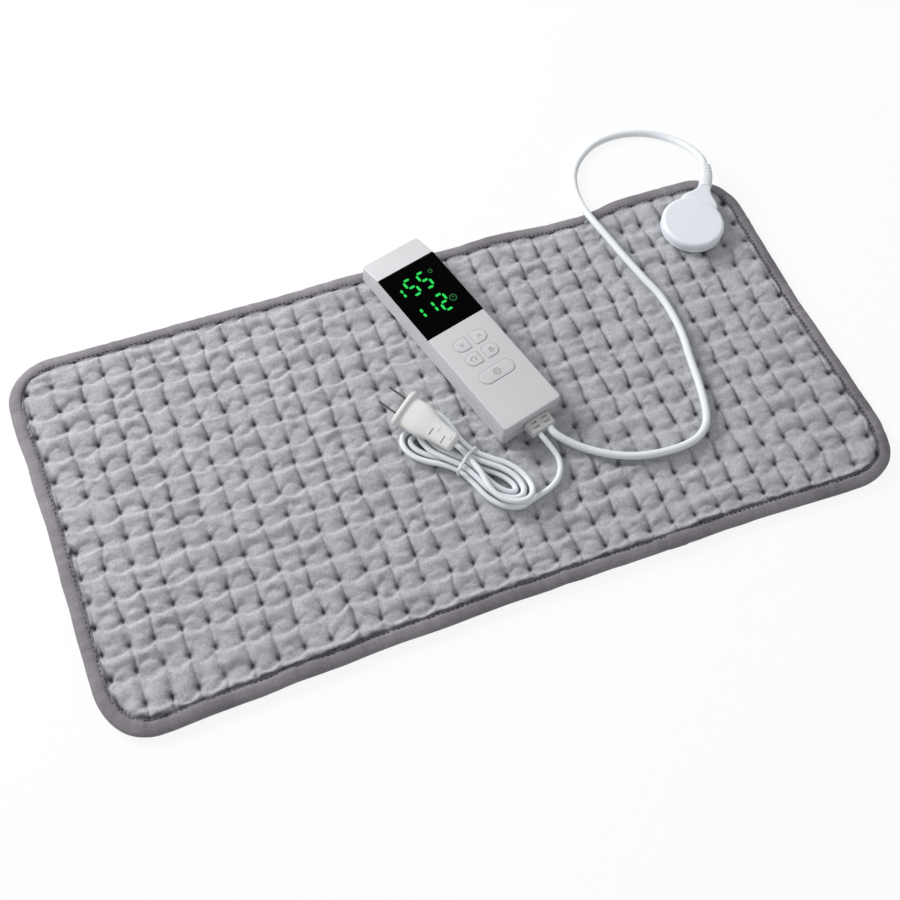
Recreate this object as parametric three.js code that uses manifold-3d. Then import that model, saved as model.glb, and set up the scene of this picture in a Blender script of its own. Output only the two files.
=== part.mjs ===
import * as THREE from "three";
import { mergeVertices } from "three/addons/utils/BufferGeometryUtils.js";
import Module from "manifold-3d";

// A quilted heating pad with a hand controller, a detachable cord and a mains plug.
// Millimetres, +Z up. The origin is the centre of the pad's underside, +X runs along its length.

const wasm = await Module();
wasm.setup();

// Clearances that every piece shares
const gap = 0.3; // between pieces that touch
const overrun = 1; // how far a cutting solid runs past the face that it cuts

// Driving sizes of the pad
const pad = {
  length: 600,
  width: 300,
  cornerRadius: 36.5,
  bottomThickness: 2.4,
  quiltPitchX: 18.43,
  quiltPitchY: 19.35,
  sideRowInset: 10,
  frontRowInset: 20,
  backRowInset: 5,
  tuftThickness: 1.3,
  crownRise: 5,
  edgeSlopeShare: 0.28,
};
const binding = { width: 12.5, thickness: 0.9, height: 8.8, edgeRound: 2 };
const carrier = { thickness: 0.6, inset: 15 };
const wire = {
  diameter: 1.3,
  runs: 8,
  lastRunFromSocket: 11,
  frontInset: 25,
  leftInset: 30,
  rightInset: 55,
  returnInset: 17,
};
const sensor = { length: 16, width: 6, x: 0, y: -40 };
const cutout = { length: 26, width: 9, x: -120, y: -40 };

// Heights in the pad's stack, from the floor up
const carrierZ = pad.bottomThickness + gap;
const elementZ = carrierZ + carrier.thickness + gap;
const coverZ = elementZ + wire.diameter + gap;
const tuftZ = coverZ + pad.tuftThickness;
const crownZ = tuftZ + pad.crownRise;
const coverEdgeZ = binding.height - binding.thickness - gap;
const topZ = crownZ + gap;

// The socket in the pad and the connector that lifts off it
const socketInset = { end: 55.5, back: 45 };
const socket = {
  x: pad.length / 2 - socketInset.end,
  y: pad.width / 2 - socketInset.back,
  plateRadius: 20,
  bossRadius: 9,
  bossAbovePad: 2,
  pins: 4,
  pinRadius: 0.8,
  pinCircle: 4.5,
  pinAbovePad: 7,
};
const connector = {
  turn: -40,
  discRadius: 25.3,
  height: 10,
  lowerHeight: 4.4,
  shoulderHalfWidth: 15.4,
  shoulderHeight: 8.8,
  shoulderPull: 10,
  neckHalfWidth: 5,
  neckY: 41,
  rimRound: 3,
  wall: 2,
  channelRadius: 2.6,
};
const contact = { wall: 0.6, flange: 0.9, flangeThickness: 0.8, top: 7.6 };
// The relief bends to the connector's left, by an angle in degrees over its whole length
const relief = {
  length: 23.5,
  bend: 27,
  bendSteps: 6,
  startHalfHeight: 4.2,
  midHalfWidth: 4.7,
  midHalfHeight: 4.3,
  endRadius: 3.8,
  axisZ: 4.6,
  spigotLength: 12,
};

// The controller, measured from its own centre, +Y towards its top end
const controller = {
  x: 24.9,
  y: 61.6,
  turn: 15.75,
  length: 180,
  width: 51.6,
  height: 20,
  cornerRadius: 2.5,
  wall: 2,
  roof: 2.6,
  splitZ: 8.2,
  capLength: 21.2,
  capDrop: 5.5,
  windowLength: 65.2,
  windowThickness: 1.3,
  displayLength: 50,
  displayWidth: 38,
};
const board = {
  thickness: 1.6,
  sideClearance: 1,
  partClearance: 1,
  ribX: 15,
  ribWidth: 2,
  ribLength: 120,
};
const screw = {
  sideInset: 6.8,
  endInset: 8,
  headRadius: 2.8,
  headHeight: 1.9,
  radius: 1.3,
  length: 10,
};
const boss = { wall: 1.9 };
const button = {
  width: 12,
  length: 11,
  innerRadius: 1.2,
  cornerSteps: 5,
  spacing: 16,
  proud: 0.4,
  flange: 0.9,
  flangeThickness: 2.4,
  travel: 0.7,
  rowInsets: [17.6, 32.3],
  powerInset: 50.2,
  powerWidth: 30,
  powerLength: 12,
  edgeRound: 0.4,
};
const tactSwitch = { size: 6, bodyHeight: 2.6, plungerRadius: 1.7 };
const fuse = { radius: 2.4, length: 20 };
const capacitor = { width: 7, length: 11, height: 6.5 };
const triac = { width: 4.6, length: 10, height: 6.6 };
const boot = {
  width: 22,
  length: 10.7,
  height: 9,
  radius: 2.4,
  shift: 3,
  cordSpacing: 9.2,
  neckWidth: 16.4,
  neckHeight: 7.4,
  flangeWidth: 20,
  flangeHeight: 9.6,
  flangeLength: 2,
  slotWidth: 5,
  slotLength: 1.6,
  slotDepth: 1.8,
  slotRows: [3.2, 7.2],
};

// The cords, the hank and the plug
const padCord = { diameter: 5.8, sides: 10, step: 14 };
const mains = { diameter: 4.2, sides: 8, step: 9 };
const hank = {
  x: -6.9,
  y: -39.2,
  turn: -53.7,
  loops: 4,
  loopsPerLayer: 2,
  lobePitch: 6.3,
  waistPitch: 4.9,
  layerPitch: 4.8,
  reach: 53.6,
  lobeHalfWidth: 23,
  waistHalfWidth: 9.8,
  waistLength: 28,
  lobeTurns: [8, -14],
  lobeTurnLength: 50,
  climbTurns: 0.5,
  exitClimbLead: 0.12,
  exitClimbTurns: 0.15,
  exitTurns: 0.25,
  steps: 24,
  sides: 6,
};
const tie = { thickness: 1.1, cornerSteps: 3, sides: 6 };
const plug = {
  x: -13.4,
  y: -29.7,
  turn: 121.4,
  roll: -25.6,
  z: 30.3,
  length: 46.7,
  flangeHalfWidth: 14.6,
  flangeHalfHeight: 8.8,
  flangeLength: 3.2,
  neckLength: 1.2,
  waistHalfWidth: 12.2,
  waistHalfHeight: 7,
  shoulderLength: 28,
  gripLength: 17,
  gripHalfWidth: 8.7,
  gripHalfHeight: 5.4,
  endHalfWidth: 6.9,
  endHalfHeight: 4.6,
};
const blade = {
  width: 6.35,
  thickness: 1.5,
  length: 17.5,
  spacing: 12.7,
  embedded: 9,
  tipCut: 1.2,
  holeRadius: 1.6,
  holeInset: 3.8,
};

// Routes of the free stretches, chosen by hand: the first and last points are worked out below.
// The pad cord's first points are measured from the pad's centre, its later ones from the socket.
const padCordRoute = {
  fromCentre: [
    [70, -49, 17.6],
    [81, -57.5, 15.4],
    [97, -67.5, 14.9],
    [114, -74.2, 14.9],
    [132, -77.3, 14.9],
    [150, -77.3, 14.9],
    [164, -73.6, 14.9],
    [174, -65, 14.9],
    [180, -50, 14.9],
    [184.2, -30.3, 14.9],
    [187.9, -6.9, 14.9],
    [190.8, 9, 14.9],
  ],
  fromSocket: [
    [-52.5, -78, 14.9],
    [-54, -55, 14.9],
    [-59.5, -34, 14.9],
    [-65.5, -10, 14.9],
    [-70.6, 13, 15.1],
    [-74.1, 29, 15],
    [-75.5, 41, 13.5],
    [-74.8, 51, 10.5],
    [-72.9, 61, 7],
    [-70.2, 72.5, 4.2],
    [-65.7, 85.6, 3.1],
    [-59, 95.9, 3.1],
    [-49.8, 104.4, 3.1],
    [-37.2, 112, 3.1],
    [-23.4, 115.6, 3.1],
    [-10.1, 116, 3.1],
    [3.9, 113.7, 3.1],
    [16.9, 108.4, 3.1],
    [26.7, 100.6, 4.1],
    [33.9, 90.2, 6.9],
    [37.5, 78.8, 10.6],
    [38.8, 67.2, 14.2],
  ],
};
const mainsRoute = [
  [55.5, -49, 17.6],
  [57.6, -57, 15.4],
  [56, -65, 14.4],
  [50, -73, 14.2],
  [41, -78, 14.2],
  [35, -79.6, 14.2],
];

const smooth = (value) => {
  const t = THREE.MathUtils.clamp(value, 0, 1);
  return t * t * (3 - 2 * t);
};

// Turns a closed geometry into a solid, with only its positions kept
function toSolid(geometry) {
  const bare = geometry.index ? geometry.toNonIndexed() : geometry.clone();
  bare.deleteAttribute("normal");
  bare.deleteAttribute("uv");
  const merged = mergeVertices(bare, 1e-4);
  return new wasm.Manifold(
    new wasm.Mesh({
      numProp: 3,
      vertProperties: new Float32Array(merged.attributes.position.array),
      triVerts: new Uint32Array(merged.index.array),
    }),
  );
}

function toGeometry(solid) {
  const mesh = solid.getMesh();
  const geometry = new THREE.BufferGeometry();
  geometry.setAttribute("position", new THREE.BufferAttribute(new Float32Array(mesh.vertProperties), 3));
  geometry.setIndex(new THREE.BufferAttribute(new Uint32Array(mesh.triVerts), 1));
  geometry.computeVertexNormals();
  return geometry;
}

function cut(body, ...tools) {
  return toGeometry(tools.reduce((left, tool) => left.subtract(toSolid(tool)), toSolid(body)));
}

function join(...bodies) {
  return toGeometry(bodies.map(toSolid).reduce((sum, body) => sum.add(body)));
}

function common(first, second) {
  return toGeometry(toSolid(first).intersect(toSolid(second)));
}

// Closes rings of equal length into one body. The ends are capped, or the last ring joins the first.
function skin(rings, closed = false) {
  const count = rings[0].length;
  const points = rings.flat();
  const faces = [];
  const bands = closed ? rings.length : rings.length - 1;
  for (let i = 0; i < bands; i++) {
    const here = i * count;
    const next = ((i + 1) % rings.length) * count;
    for (let k = 0; k < count; k++) {
      const l = (k + 1) % count;
      faces.push([here + k, here + l, next + l], [here + k, next + l, next + k]);
    }
  }
  if (!closed) {
    const last = (rings.length - 1) * count;
    for (let k = 1; k < count - 1; k++) {
      faces.push([0, k + 1, k], [last, last + k, last + k + 1]);
    }
  }
  return facing(points, faces);
}

// A geometry from points and triangles, with the faces turned outwards
function facing(points, faces) {
  const volume = faces.reduce(
    (sum, [a, b, c]) => sum + points[a].dot(new THREE.Vector3().crossVectors(points[b], points[c])),
    0,
  );
  const index = volume < 0 ? faces.map(([a, b, c]) => [a, c, b]) : faces;
  const geometry = new THREE.BufferGeometry().setFromPoints(points);
  geometry.setIndex(index.flat());
  geometry.computeVertexNormals();
  return geometry;
}

// Points round a rectangle with round corners, at one height. Its left corners may have their own radius.
function roundedRing(length, width, radius, z, cornerSteps = 6, leftRadius = radius) {
  const ring = [];
  for (let corner = 0; corner < 4; corner++) {
    const sx = corner === 0 || corner === 3 ? 1 : -1;
    const sy = corner < 2 ? 1 : -1;
    const round = sx > 0 ? radius : leftRadius;
    for (let k = 0; k <= cornerSteps; k++) {
      const angle = (corner + k / cornerSteps) * (Math.PI / 2);
      const x = sx * (length / 2 - round) + round * Math.cos(angle);
      const y = sy * (width / 2 - round) + round * Math.sin(angle);
      ring.push(new THREE.Vector3(x, y, z));
    }
  }
  return ring;
}

// The pad's outline, drawn in by an inset
function padRing(inset, z) {
  return roundedRing(pad.length - 2 * inset, pad.width - 2 * inset, pad.cornerRadius - inset, z);
}

function roundedPrism(length, width, radius, bottom, top, cornerSteps = 3) {
  return skin([
    roundedRing(length, width, radius, bottom, cornerSteps),
    roundedRing(length, width, radius, top, cornerSteps),
  ]);
}

function box(width, length, bottom, top, x = 0, y = 0) {
  return new THREE.BoxGeometry(width, length, top - bottom).translate(x, y, (top + bottom) / 2);
}

function upright(radius, bottom, top, x = 0, y = 0, sides = 16) {
  return new THREE.CylinderGeometry(radius, radius, top - bottom, sides)
    .rotateX(Math.PI / 2)
    .translate(x, y, (top + bottom) / 2);
}

// A solid turned about Z from points of radius and height, which starts and ends on the axis
function turned(profile, sides = 32) {
  return new THREE.LatheGeometry(
    profile.map(([radius, z]) => new THREE.Vector2(radius, z)),
    sides,
  ).rotateX(Math.PI / 2);
}

// A round tube through given points, with one ring at each. No point runs along the reference direction.
function wound(points, radius, sides, closed = false, reference = new THREE.Vector3(0, 0, 1)) {
  const rings = [];
  const last = points.length - 1;
  let side = null;
  points.forEach((point, i) => {
    const before = points[closed ? (i + last) % points.length : Math.max(i - 1, 0)];
    const after = points[closed ? (i + 1) % points.length : Math.min(i + 1, last)];
    const along = after.clone().sub(before).normalize();
    if (!side) side = new THREE.Vector3().crossVectors(along, reference);
    side = side.clone().addScaledVector(along, -side.dot(along)).normalize();
    const up = new THREE.Vector3().crossVectors(along, side);
    const ring = [];
    for (let k = 0; k < sides; k++) {
      const angle = ((k + 0.5) / sides) * 2 * Math.PI;
      const across = side.clone().multiplyScalar(radius * Math.cos(angle));
      ring.push(point.clone().add(across).addScaledVector(up, radius * Math.sin(angle)));
    }
    rings.push(ring);
  });
  return skin(rings, closed);
}

// A free stretch of cord: a round section along a curve
function cordTube(points, cord) {
  const path = new THREE.CatmullRomCurve3(points, false, "centripetal");
  const section = new THREE.Shape();
  for (let k = 0; k < cord.sides; k++) {
    const angle = ((k + 0.5) / cord.sides) * 2 * Math.PI;
    const x = (cord.diameter / 2) * Math.cos(angle);
    const y = (cord.diameter / 2) * Math.sin(angle);
    if (k === 0) section.moveTo(x, y);
    else section.lineTo(x, y);
  }
  const steps = Math.round(path.getLength() / cord.step);
  return new THREE.ExtrudeGeometry(section, { steps, extrudePath: path });
}

// Flat-ended body along +Y through sections of half width and half height, with squared-off rounds
function loft(sections, sides = 20, squareness = 0.55) {
  return skin(
    sections.map(({ y, halfWidth, halfHeight, z = 0 }) => {
      const ring = [];
      for (let k = 0; k < sides; k++) {
        const angle = ((k + 0.5) / sides) * 2 * Math.PI;
        const c = Math.cos(angle);
        const s = Math.sin(angle);
        const x = Math.sign(c) * Math.abs(c) ** squareness * halfWidth;
        ring.push(new THREE.Vector3(x, y, z + Math.sign(s) * Math.abs(s) ** squareness * halfHeight));
      }
      return ring;
    }),
  );
}

// Materials by look
const looks = {
  fabric: { color: 0xa4a6ac, roughness: 0.95 },
  fabricUnderside: { color: 0x94969c, roughness: 0.95 },
  tape: { color: 0x77737b, roughness: 0.9 },
  felt: { color: 0xe4e2dc, roughness: 0.95 },
  whitePlastic: { color: 0xe9eaed, roughness: 0.38 },
  cordPlastic: { color: 0xe4e9ed, roughness: 0.45 },
  plugPlastic: { color: 0xdedede, roughness: 0.5 },
  blackWindow: { color: 0x060708, roughness: 0.1 },
  darkPlastic: { color: 0x24262a, roughness: 0.6 },
  boardGreen: { color: 0x1f5a3c, roughness: 0.55 },
  brass: { color: 0xc2a35c, roughness: 0.3, metalness: 1 },
  steel: { color: 0xb9bcc0, roughness: 0.35, metalness: 1 },
  ceramic: { color: 0xd8cbb0, roughness: 0.6 },
  heaterSleeve: { color: 0xf1ece0, roughness: 0.6 },
};

function piece(name, geometry, look) {
  const mesh = new THREE.Mesh(geometry, new THREE.MeshStandardMaterial(looks[look]));
  mesh.name = name;
  return mesh;
}

// How far a point of the pad lies inside its outline
function insetAt(x, y) {
  const dx = Math.abs(x) - (pad.length / 2 - pad.cornerRadius);
  const dy = Math.abs(y) - (pad.width / 2 - pad.cornerRadius);
  if (dx > 0 && dy > 0) return pad.cornerRadius - Math.hypot(dx, dy);
  return pad.cornerRadius - Math.max(dx, dy);
}

// Top cover: sewn tufts on a square grid, with a crown in each cell between four of them
function quiltedTop() {
  const edgeInset = binding.thickness + gap;
  const halfLength = pad.length / 2 - edgeInset;
  const halfWidth = pad.width / 2 - edgeInset;
  const spanX = pad.length - 2 * pad.sideRowInset;
  const spanY = pad.width - pad.frontRowInset - pad.backRowInset;
  const pitchesX = Math.floor(spanX / pad.quiltPitchX);
  const pitchesY = Math.floor(spanY / pad.quiltPitchY);
  const xs = [-halfLength];
  for (let i = 0; i <= pitchesX; i++) xs.push((i - pitchesX / 2) * pad.quiltPitchX);
  xs.push(halfLength);
  const ys = [-halfWidth];
  for (let j = 0; j <= pitchesY; j++) ys.push(pad.frontRowInset - pad.width / 2 + j * pad.quiltPitchY);
  ys.push(halfWidth);
  const points = [];
  const faces = [];
  const add = (x, y, z) => points.push(new THREE.Vector3(x, y, z)) - 1;
  const crownHeight = (x, y) => {
    const rise = pad.edgeSlopeShare * (insetAt(x, y) - binding.width);
    return Math.max(tuftZ, Math.min(crownZ, coverEdgeZ + rise));
  };
  const lastX = xs.length - 1;
  const lastY = ys.length - 1;
  const grid = ys.map((y, j) =>
    xs.map((x, i) => add(x, y, i === 0 || j === 0 || i === lastX || j === lastY ? coverEdgeZ : tuftZ)),
  );
  for (let j = 0; j < lastY; j++) {
    for (let i = 0; i < lastX; i++) {
      const corners = [grid[j][i], grid[j][i + 1], grid[j + 1][i + 1], grid[j + 1][i]];
      if (i === 0 || j === 0 || i === lastX - 1 || j === lastY - 1) {
        faces.push([corners[0], corners[1], corners[2]], [corners[0], corners[2], corners[3]]);
        continue;
      }
      const x = (xs[i] + xs[i + 1]) / 2;
      const y = (ys[j] + ys[j + 1]) / 2;
      const crown = add(x, y, crownHeight(x, y));
      corners.forEach((corner, k) => faces.push([corner, corners[(k + 1) % 4], crown]));
    }
  }
  const rim = [];
  for (let i = 0; i < lastX; i++) rim.push(grid[0][i]);
  for (let j = 0; j < lastY; j++) rim.push(grid[j][lastX]);
  for (let i = lastX; i > 0; i--) rim.push(grid[lastY][i]);
  for (let j = lastY; j > 0; j--) rim.push(grid[j][0]);
  const floor = rim.map((k) => add(points[k].x, points[k].y, coverZ));
  const middle = add(0, 0, coverZ);
  rim.forEach((here, k) => {
    const l = (k + 1) % rim.length;
    faces.push([here, floor[k], floor[l]], [here, floor[l], rim[l]], [floor[l], floor[k], middle]);
  });
  const outline = skin([padRing(edgeInset, coverZ - overrun), padRing(edgeInset, crownZ + overrun)]);
  const underBinding = skin(
    [
      padRing(-overrun, coverEdgeZ),
      padRing(binding.width + gap, coverEdgeZ),
      padRing(binding.width + gap, crownZ + overrun),
      padRing(-overrun, crownZ + overrun),
    ],
    true,
  );
  const socketHole = upright(socket.bossRadius + gap, 0, crownZ + overrun, socket.x, socket.y);
  return cut(common(facing(points, faces), outline), underBinding, socketHole);
}

function bottomCover() {
  const inner = binding.width + gap;
  const outer = binding.thickness + gap;
  return skin([
    padRing(inner, 0),
    padRing(inner, outer),
    padRing(outer, outer),
    padRing(outer, pad.bottomThickness),
  ]);
}

// Folded tape round the edge, open inwards, with its outer corners rounded
function edgeBinding() {
  const { width, thickness, height, edgeRound } = binding;
  const easeShare = 0.3;
  const ease = easeShare * edgeRound;
  return skin(
    [
      padRing(width, 0),
      padRing(edgeRound, 0),
      padRing(ease, ease),
      padRing(0, edgeRound),
      padRing(0, height - edgeRound),
      padRing(ease, height - ease),
      padRing(edgeRound, height),
      padRing(width, height),
      padRing(width, height - thickness),
      padRing(thickness, height - thickness),
      padRing(thickness, thickness),
      padRing(width, thickness),
    ],
    true,
  );
}

// Heating wire: runs joined by half turns, then back up the right side to the socket
function heatingWire() {
  const radius = wire.diameter / 2;
  const z = elementZ + radius;
  const turnSteps = 6;
  const clearOfSocket = socket.plateRadius + gap + radius;
  const leftX = wire.leftInset - pad.length / 2;
  const rightX = pad.length / 2 - wire.rightInset;
  const returnX = pad.length / 2 - wire.returnInset;
  const firstRunY = wire.frontInset - pad.width / 2;
  const lastRunY = socket.y + wire.lastRunFromSocket;
  const runPitch = (lastRunY - firstRunY) / (wire.runs - 1);
  const turnRadius = runPitch / 2;
  const points = [];
  const add = (x, y) => points.push(new THREE.Vector3(x, y, z));
  const turnRound = (x, fromY, side) => {
    for (let k = 0; k <= turnSteps; k++) {
      const angle = (k / turnSteps) * Math.PI;
      add(x + side * turnRadius * Math.sin(angle), fromY - turnRadius + turnRadius * Math.cos(angle));
    }
  };
  const quarter = (x, y, startAngle, sweep) => {
    for (let k = 0; k <= turnSteps / 2; k++) {
      const angle = startAngle + (k / (turnSteps / 2)) * sweep;
      add(x + turnRadius * Math.cos(angle), y + turnRadius * Math.sin(angle));
    }
  };
  const upperRightX = socket.x - clearOfSocket - turnRadius;
  add(socket.x - Math.sqrt(clearOfSocket ** 2 - wire.lastRunFromSocket ** 2), lastRunY);
  for (let run = 0; run < wire.runs - 1; run++) {
    const y = lastRunY - run * runPitch;
    if (run % 2 === 0) turnRound(leftX, y, -1);
    else turnRound(run === 1 ? upperRightX : rightX, y, 1);
  }
  quarter(returnX - turnRadius, firstRunY + turnRadius, -Math.PI / 2, Math.PI / 2);
  quarter(returnX - turnRadius, socket.y - turnRadius, 0, Math.PI / 2);
  add(socket.x + clearOfSocket, socket.y);
  return wound(points, radius, 6);
}

function flatComponent(size) {
  const { length, width, x, y } = size;
  const cornerShare = 0.3;
  const radius = cornerShare * width;
  return roundedPrism(length, width, radius, elementZ, elementZ + wire.diameter).translate(x, y, 0);
}

function padPieces() {
  const group = new THREE.Group();
  const carrierTop = carrierZ + carrier.thickness;
  group.add(
    piece("pad_bottom_cover", bottomCover(), "fabricUnderside"),
    piece("pad_top_cover", quiltedTop(), "fabric"),
    piece("edge_binding", edgeBinding(), "tape"),
    piece(
      "element_carrier",
      skin([padRing(carrier.inset, carrierZ), padRing(carrier.inset, carrierTop)]),
      "felt",
    ),
    piece("heating_wire", heatingWire(), "heaterSleeve"),
    piece("temperature_sensor", flatComponent(sensor), "darkPlastic"),
    piece("thermal_cutout", flatComponent(cutout), "ceramic"),
  );
  return group;
}

// The places of the socket's pins, shared with the connector's contacts
function pinPlaces() {
  const places = [];
  for (let k = 0; k < socket.pins; k++) {
    const angle = (k / socket.pins) * 2 * Math.PI + Math.PI / 4;
    places.push([socket.pinCircle * Math.cos(angle), socket.pinCircle * Math.sin(angle)]);
  }
  return places;
}

// The pad's half of the connection: its plate lies under the top cover and its boss comes up through it
function socketPieces() {
  const group = new THREE.Group();
  group.position.set(socket.x, socket.y, 0);
  group.rotation.z = THREE.MathUtils.degToRad(connector.turn);
  const plateTop = elementZ + wire.diameter;
  const bossTop = topZ + socket.bossAbovePad;
  const base = turned([
    [0, elementZ],
    [socket.plateRadius, elementZ],
    [socket.plateRadius, plateTop],
    [socket.bossRadius, plateTop],
    [socket.bossRadius, bossTop],
    [0, bossTop],
  ]);
  const holes = pinPlaces().map(([x, y]) =>
    upright(socket.pinRadius + gap, plateTop, bossTop + overrun, x, y, 10),
  );
  group.add(piece("socket_base", cut(base, ...holes), "darkPlastic"));
  pinPlaces().forEach(([x, y], k) => {
    const pin = upright(socket.pinRadius, plateTop + gap, topZ + socket.pinAbovePad, x, y, 10);
    group.add(piece(`socket_pin_${k + 1}`, pin, "brass"));
  });
  return group;
}

// The connector's shoulder seen from above, from the disc to the neck
function shoulderOutline() {
  const { discRadius, shoulderHalfWidth: half, shoulderPull, neckHalfWidth: neck, neckY } = connector;
  const startY = Math.sqrt(discRadius ** 2 - half ** 2);
  const shape = new THREE.Shape();
  shape.moveTo(-half, 0);
  shape.lineTo(half, 0);
  shape.lineTo(half, startY);
  shape.bezierCurveTo(half, startY + shoulderPull, neck, neckY - shoulderPull, neck, neckY);
  shape.lineTo(-neck, neckY);
  shape.bezierCurveTo(-neck, neckY - shoulderPull, -half, startY + shoulderPull, -half, startY);
  return shape;
}

function prism(shape, bottom, top, curveSegments = 8) {
  return new THREE.ExtrudeGeometry(shape, {
    depth: top - bottom,
    bevelEnabled: false,
    curveSegments,
  }).translate(0, 0, bottom);
}

// The relief's bend: a point's place after its straight body is laid along an arc that turns left
function afterBend(x, y, startY) {
  const radius = relief.length / THREE.MathUtils.degToRad(relief.bend);
  const angle = (y - startY) / radius;
  return [(radius + x) * Math.cos(angle) - radius, startY + (radius + x) * Math.sin(angle)];
}

function bent(geometry, startY) {
  const places = geometry.getAttribute("position");
  for (let k = 0; k < places.count; k++) {
    places.setXY(k, ...afterBend(places.getX(k), places.getY(k), startY));
  }
  return geometry;
}

function connectorPieces() {
  const { discRadius, height, lowerHeight, shoulderHeight, rimRound, wall, channelRadius } = connector;
  const group = new THREE.Group();
  group.position.set(socket.x, socket.y, topZ);
  group.rotation.z = THREE.MathUtils.degToRad(connector.turn);

  const roofZ = socket.bossAbovePad + gap;
  const lowerDisc = turned([
    [0, 0],
    [discRadius - rimRound / 2, 0],
    [discRadius, rimRound / 2],
    [discRadius, lowerHeight],
    [0, lowerHeight],
  ]);
  const lower = join(lowerDisc, prism(shoulderOutline(), 0, lowerHeight));
  const recess = upright(socket.bossRadius + gap, -overrun, roofZ, 0, 0, 32);
  const pinHoles = pinPlaces().map(([x, y]) =>
    upright(socket.pinRadius + contact.wall + 2 * gap, 0, lowerHeight + overrun, x, y, 12),
  );
  const channelStart = discRadius / 2;
  const channel = (bottom, top) =>
    box(2 * channelRadius, connector.neckY + overrun - channelStart, bottom, top).translate(
      0,
      (connector.neckY + overrun + channelStart) / 2,
      0,
    );
  const lowerChannel = channel(relief.axisZ - channelRadius, lowerHeight + overrun);

  const upperBottom = lowerHeight + gap;
  const easeShare = 0.35;
  const upperDisc = turned([
    [0, upperBottom],
    [discRadius, upperBottom],
    [discRadius, height - rimRound],
    [discRadius - easeShare * rimRound, height - easeShare * rimRound],
    [discRadius - rimRound, height],
    [0, height],
  ]);
  const upper = join(upperDisc, prism(shoulderOutline(), upperBottom, shoulderHeight));
  const chamber = upright(discRadius - wall, lowerHeight, height - wall, 0, 0, 32);
  const upperChannel = channel(lowerHeight, relief.axisZ + channelRadius);
  group.add(
    piece("connector_lower_shell", cut(lower, recess, ...pinHoles, lowerChannel), "whitePlastic"),
    piece("connector_upper_shell", cut(upper, chamber, upperChannel), "whitePlastic"),
  );

  const bore = socket.pinRadius + gap;
  const outer = bore + contact.wall;
  const flangeBottom = lowerHeight + gap;
  const flangeTop = flangeBottom + contact.flangeThickness;
  const sleeve = [
    [bore, roofZ + gap],
    [outer, roofZ + gap],
    [outer, flangeBottom],
    [outer + contact.flange, flangeBottom],
    [outer + contact.flange, flangeTop],
    [outer, flangeTop],
    [outer, contact.top],
    [bore, contact.top],
    [bore, roofZ + gap],
  ];
  pinPlaces().forEach(([x, y], k) => {
    group.add(piece(`connector_contact_${k + 1}`, turned(sleeve, 10).translate(x, y, 0), "brass"));
  });

  const start = connector.neckY + gap;
  const waistShare = 0.7;
  const between = (share, first, middle, last) =>
    share < waistShare
      ? first + (share / waistShare) * (middle - first)
      : middle + ((share - waistShare) / (1 - waistShare)) * (last - middle);
  const sections = Array.from({ length: relief.bendSteps + 1 }, (_, k) => {
    const share = k / relief.bendSteps;
    return {
      y: start + share * relief.length,
      halfWidth: between(share, connector.neckHalfWidth, relief.midHalfWidth, relief.endRadius),
      halfHeight: between(share, relief.startHalfHeight, relief.midHalfHeight, relief.endRadius),
    };
  });
  const body = bent(loft(sections, 16, 0.8), start);
  const spigotRadius = channelRadius - gap;
  const spigotLength = relief.spigotLength + overrun;
  const spigot = new THREE.CylinderGeometry(spigotRadius, spigotRadius, spigotLength, 12);
  spigot.translate(0, start + overrun - spigotLength / 2, 0);
  const reliefBody = join(body, spigot).translate(0, 0, relief.axisZ);
  group.add(piece("connector_strain_relief", reliefBody, "cordPlastic"));
  return group;
}

// The controller's side outline from its lower end to the sloped cap, drawn in by a wall and a roof
function sideOutline(wall, roof, bottom) {
  const { length, height, capLength, capDrop } = controller;
  const end = length / 2;
  const shape = new THREE.Shape();
  shape.moveTo(wall - end, bottom);
  shape.lineTo(end - wall, bottom);
  shape.lineTo(end - wall, height - capDrop - roof);
  shape.lineTo(end - capLength - wall, height - roof);
  shape.lineTo(wall - end, height - roof);
  return shape;
}

function acrossPrism(shape, width) {
  const basis = new THREE.Matrix4().makeBasis(
    new THREE.Vector3(0, 1, 0),
    new THREE.Vector3(0, 0, 1),
    new THREE.Vector3(1, 0, 0),
  );
  return new THREE.ExtrudeGeometry(shape, { depth: width, bevelEnabled: false })
    .translate(0, 0, -width / 2)
    .applyMatrix4(basis);
}

// Where the window ends and the places of the buttons
const windowTopY = controller.length / 2 - controller.capLength;
const windowBottomY = windowTopY - controller.windowLength;
const buttonPlaces = [
  { name: "upper_left", x: -button.spacing / 2, y: windowBottomY - button.rowInsets[0] },
  { name: "upper_right", x: button.spacing / 2, y: windowBottomY - button.rowInsets[0] },
  { name: "lower_left", x: -button.spacing / 2, y: windowBottomY - button.rowInsets[1] },
  { name: "lower_right", x: button.spacing / 2, y: windowBottomY - button.rowInsets[1] },
  { name: "power", x: 0, y: windowBottomY - button.powerInset, power: true },
];

// A key's outline, grown by a clearance. The wide key has two round ends, a small one only its outer one.
function keyRing({ x, y, power }, grow, z) {
  const width = power ? button.powerWidth : button.width;
  const length = power ? button.powerLength : button.length;
  const rightRadius = power || x > 0 ? length / 2 : button.innerRadius;
  const leftRadius = power || x < 0 ? length / 2 : button.innerRadius;
  return roundedRing(
    width + 2 * grow,
    length + 2 * grow,
    rightRadius + grow,
    z,
    button.cornerSteps,
    leftRadius + grow,
  ).map((point) => point.add(new THREE.Vector3(x, y, 0)));
}

const screwX = controller.width / 2 - screw.sideInset;
const screwY = controller.length / 2 - screw.endInset;

function screwPlaces() {
  return [-1, 1].flatMap((sy) => [-1, 1].map((sx) => [sx * screwX, sy * screwY]));
}

const boardZ = controller.splitZ + gap;
const boardTopZ = boardZ + board.thickness;
const partsZ = boardTopZ + gap;
const cavityTopZ = controller.height - controller.roof;
const bootZ = controller.splitZ + gap;

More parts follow.
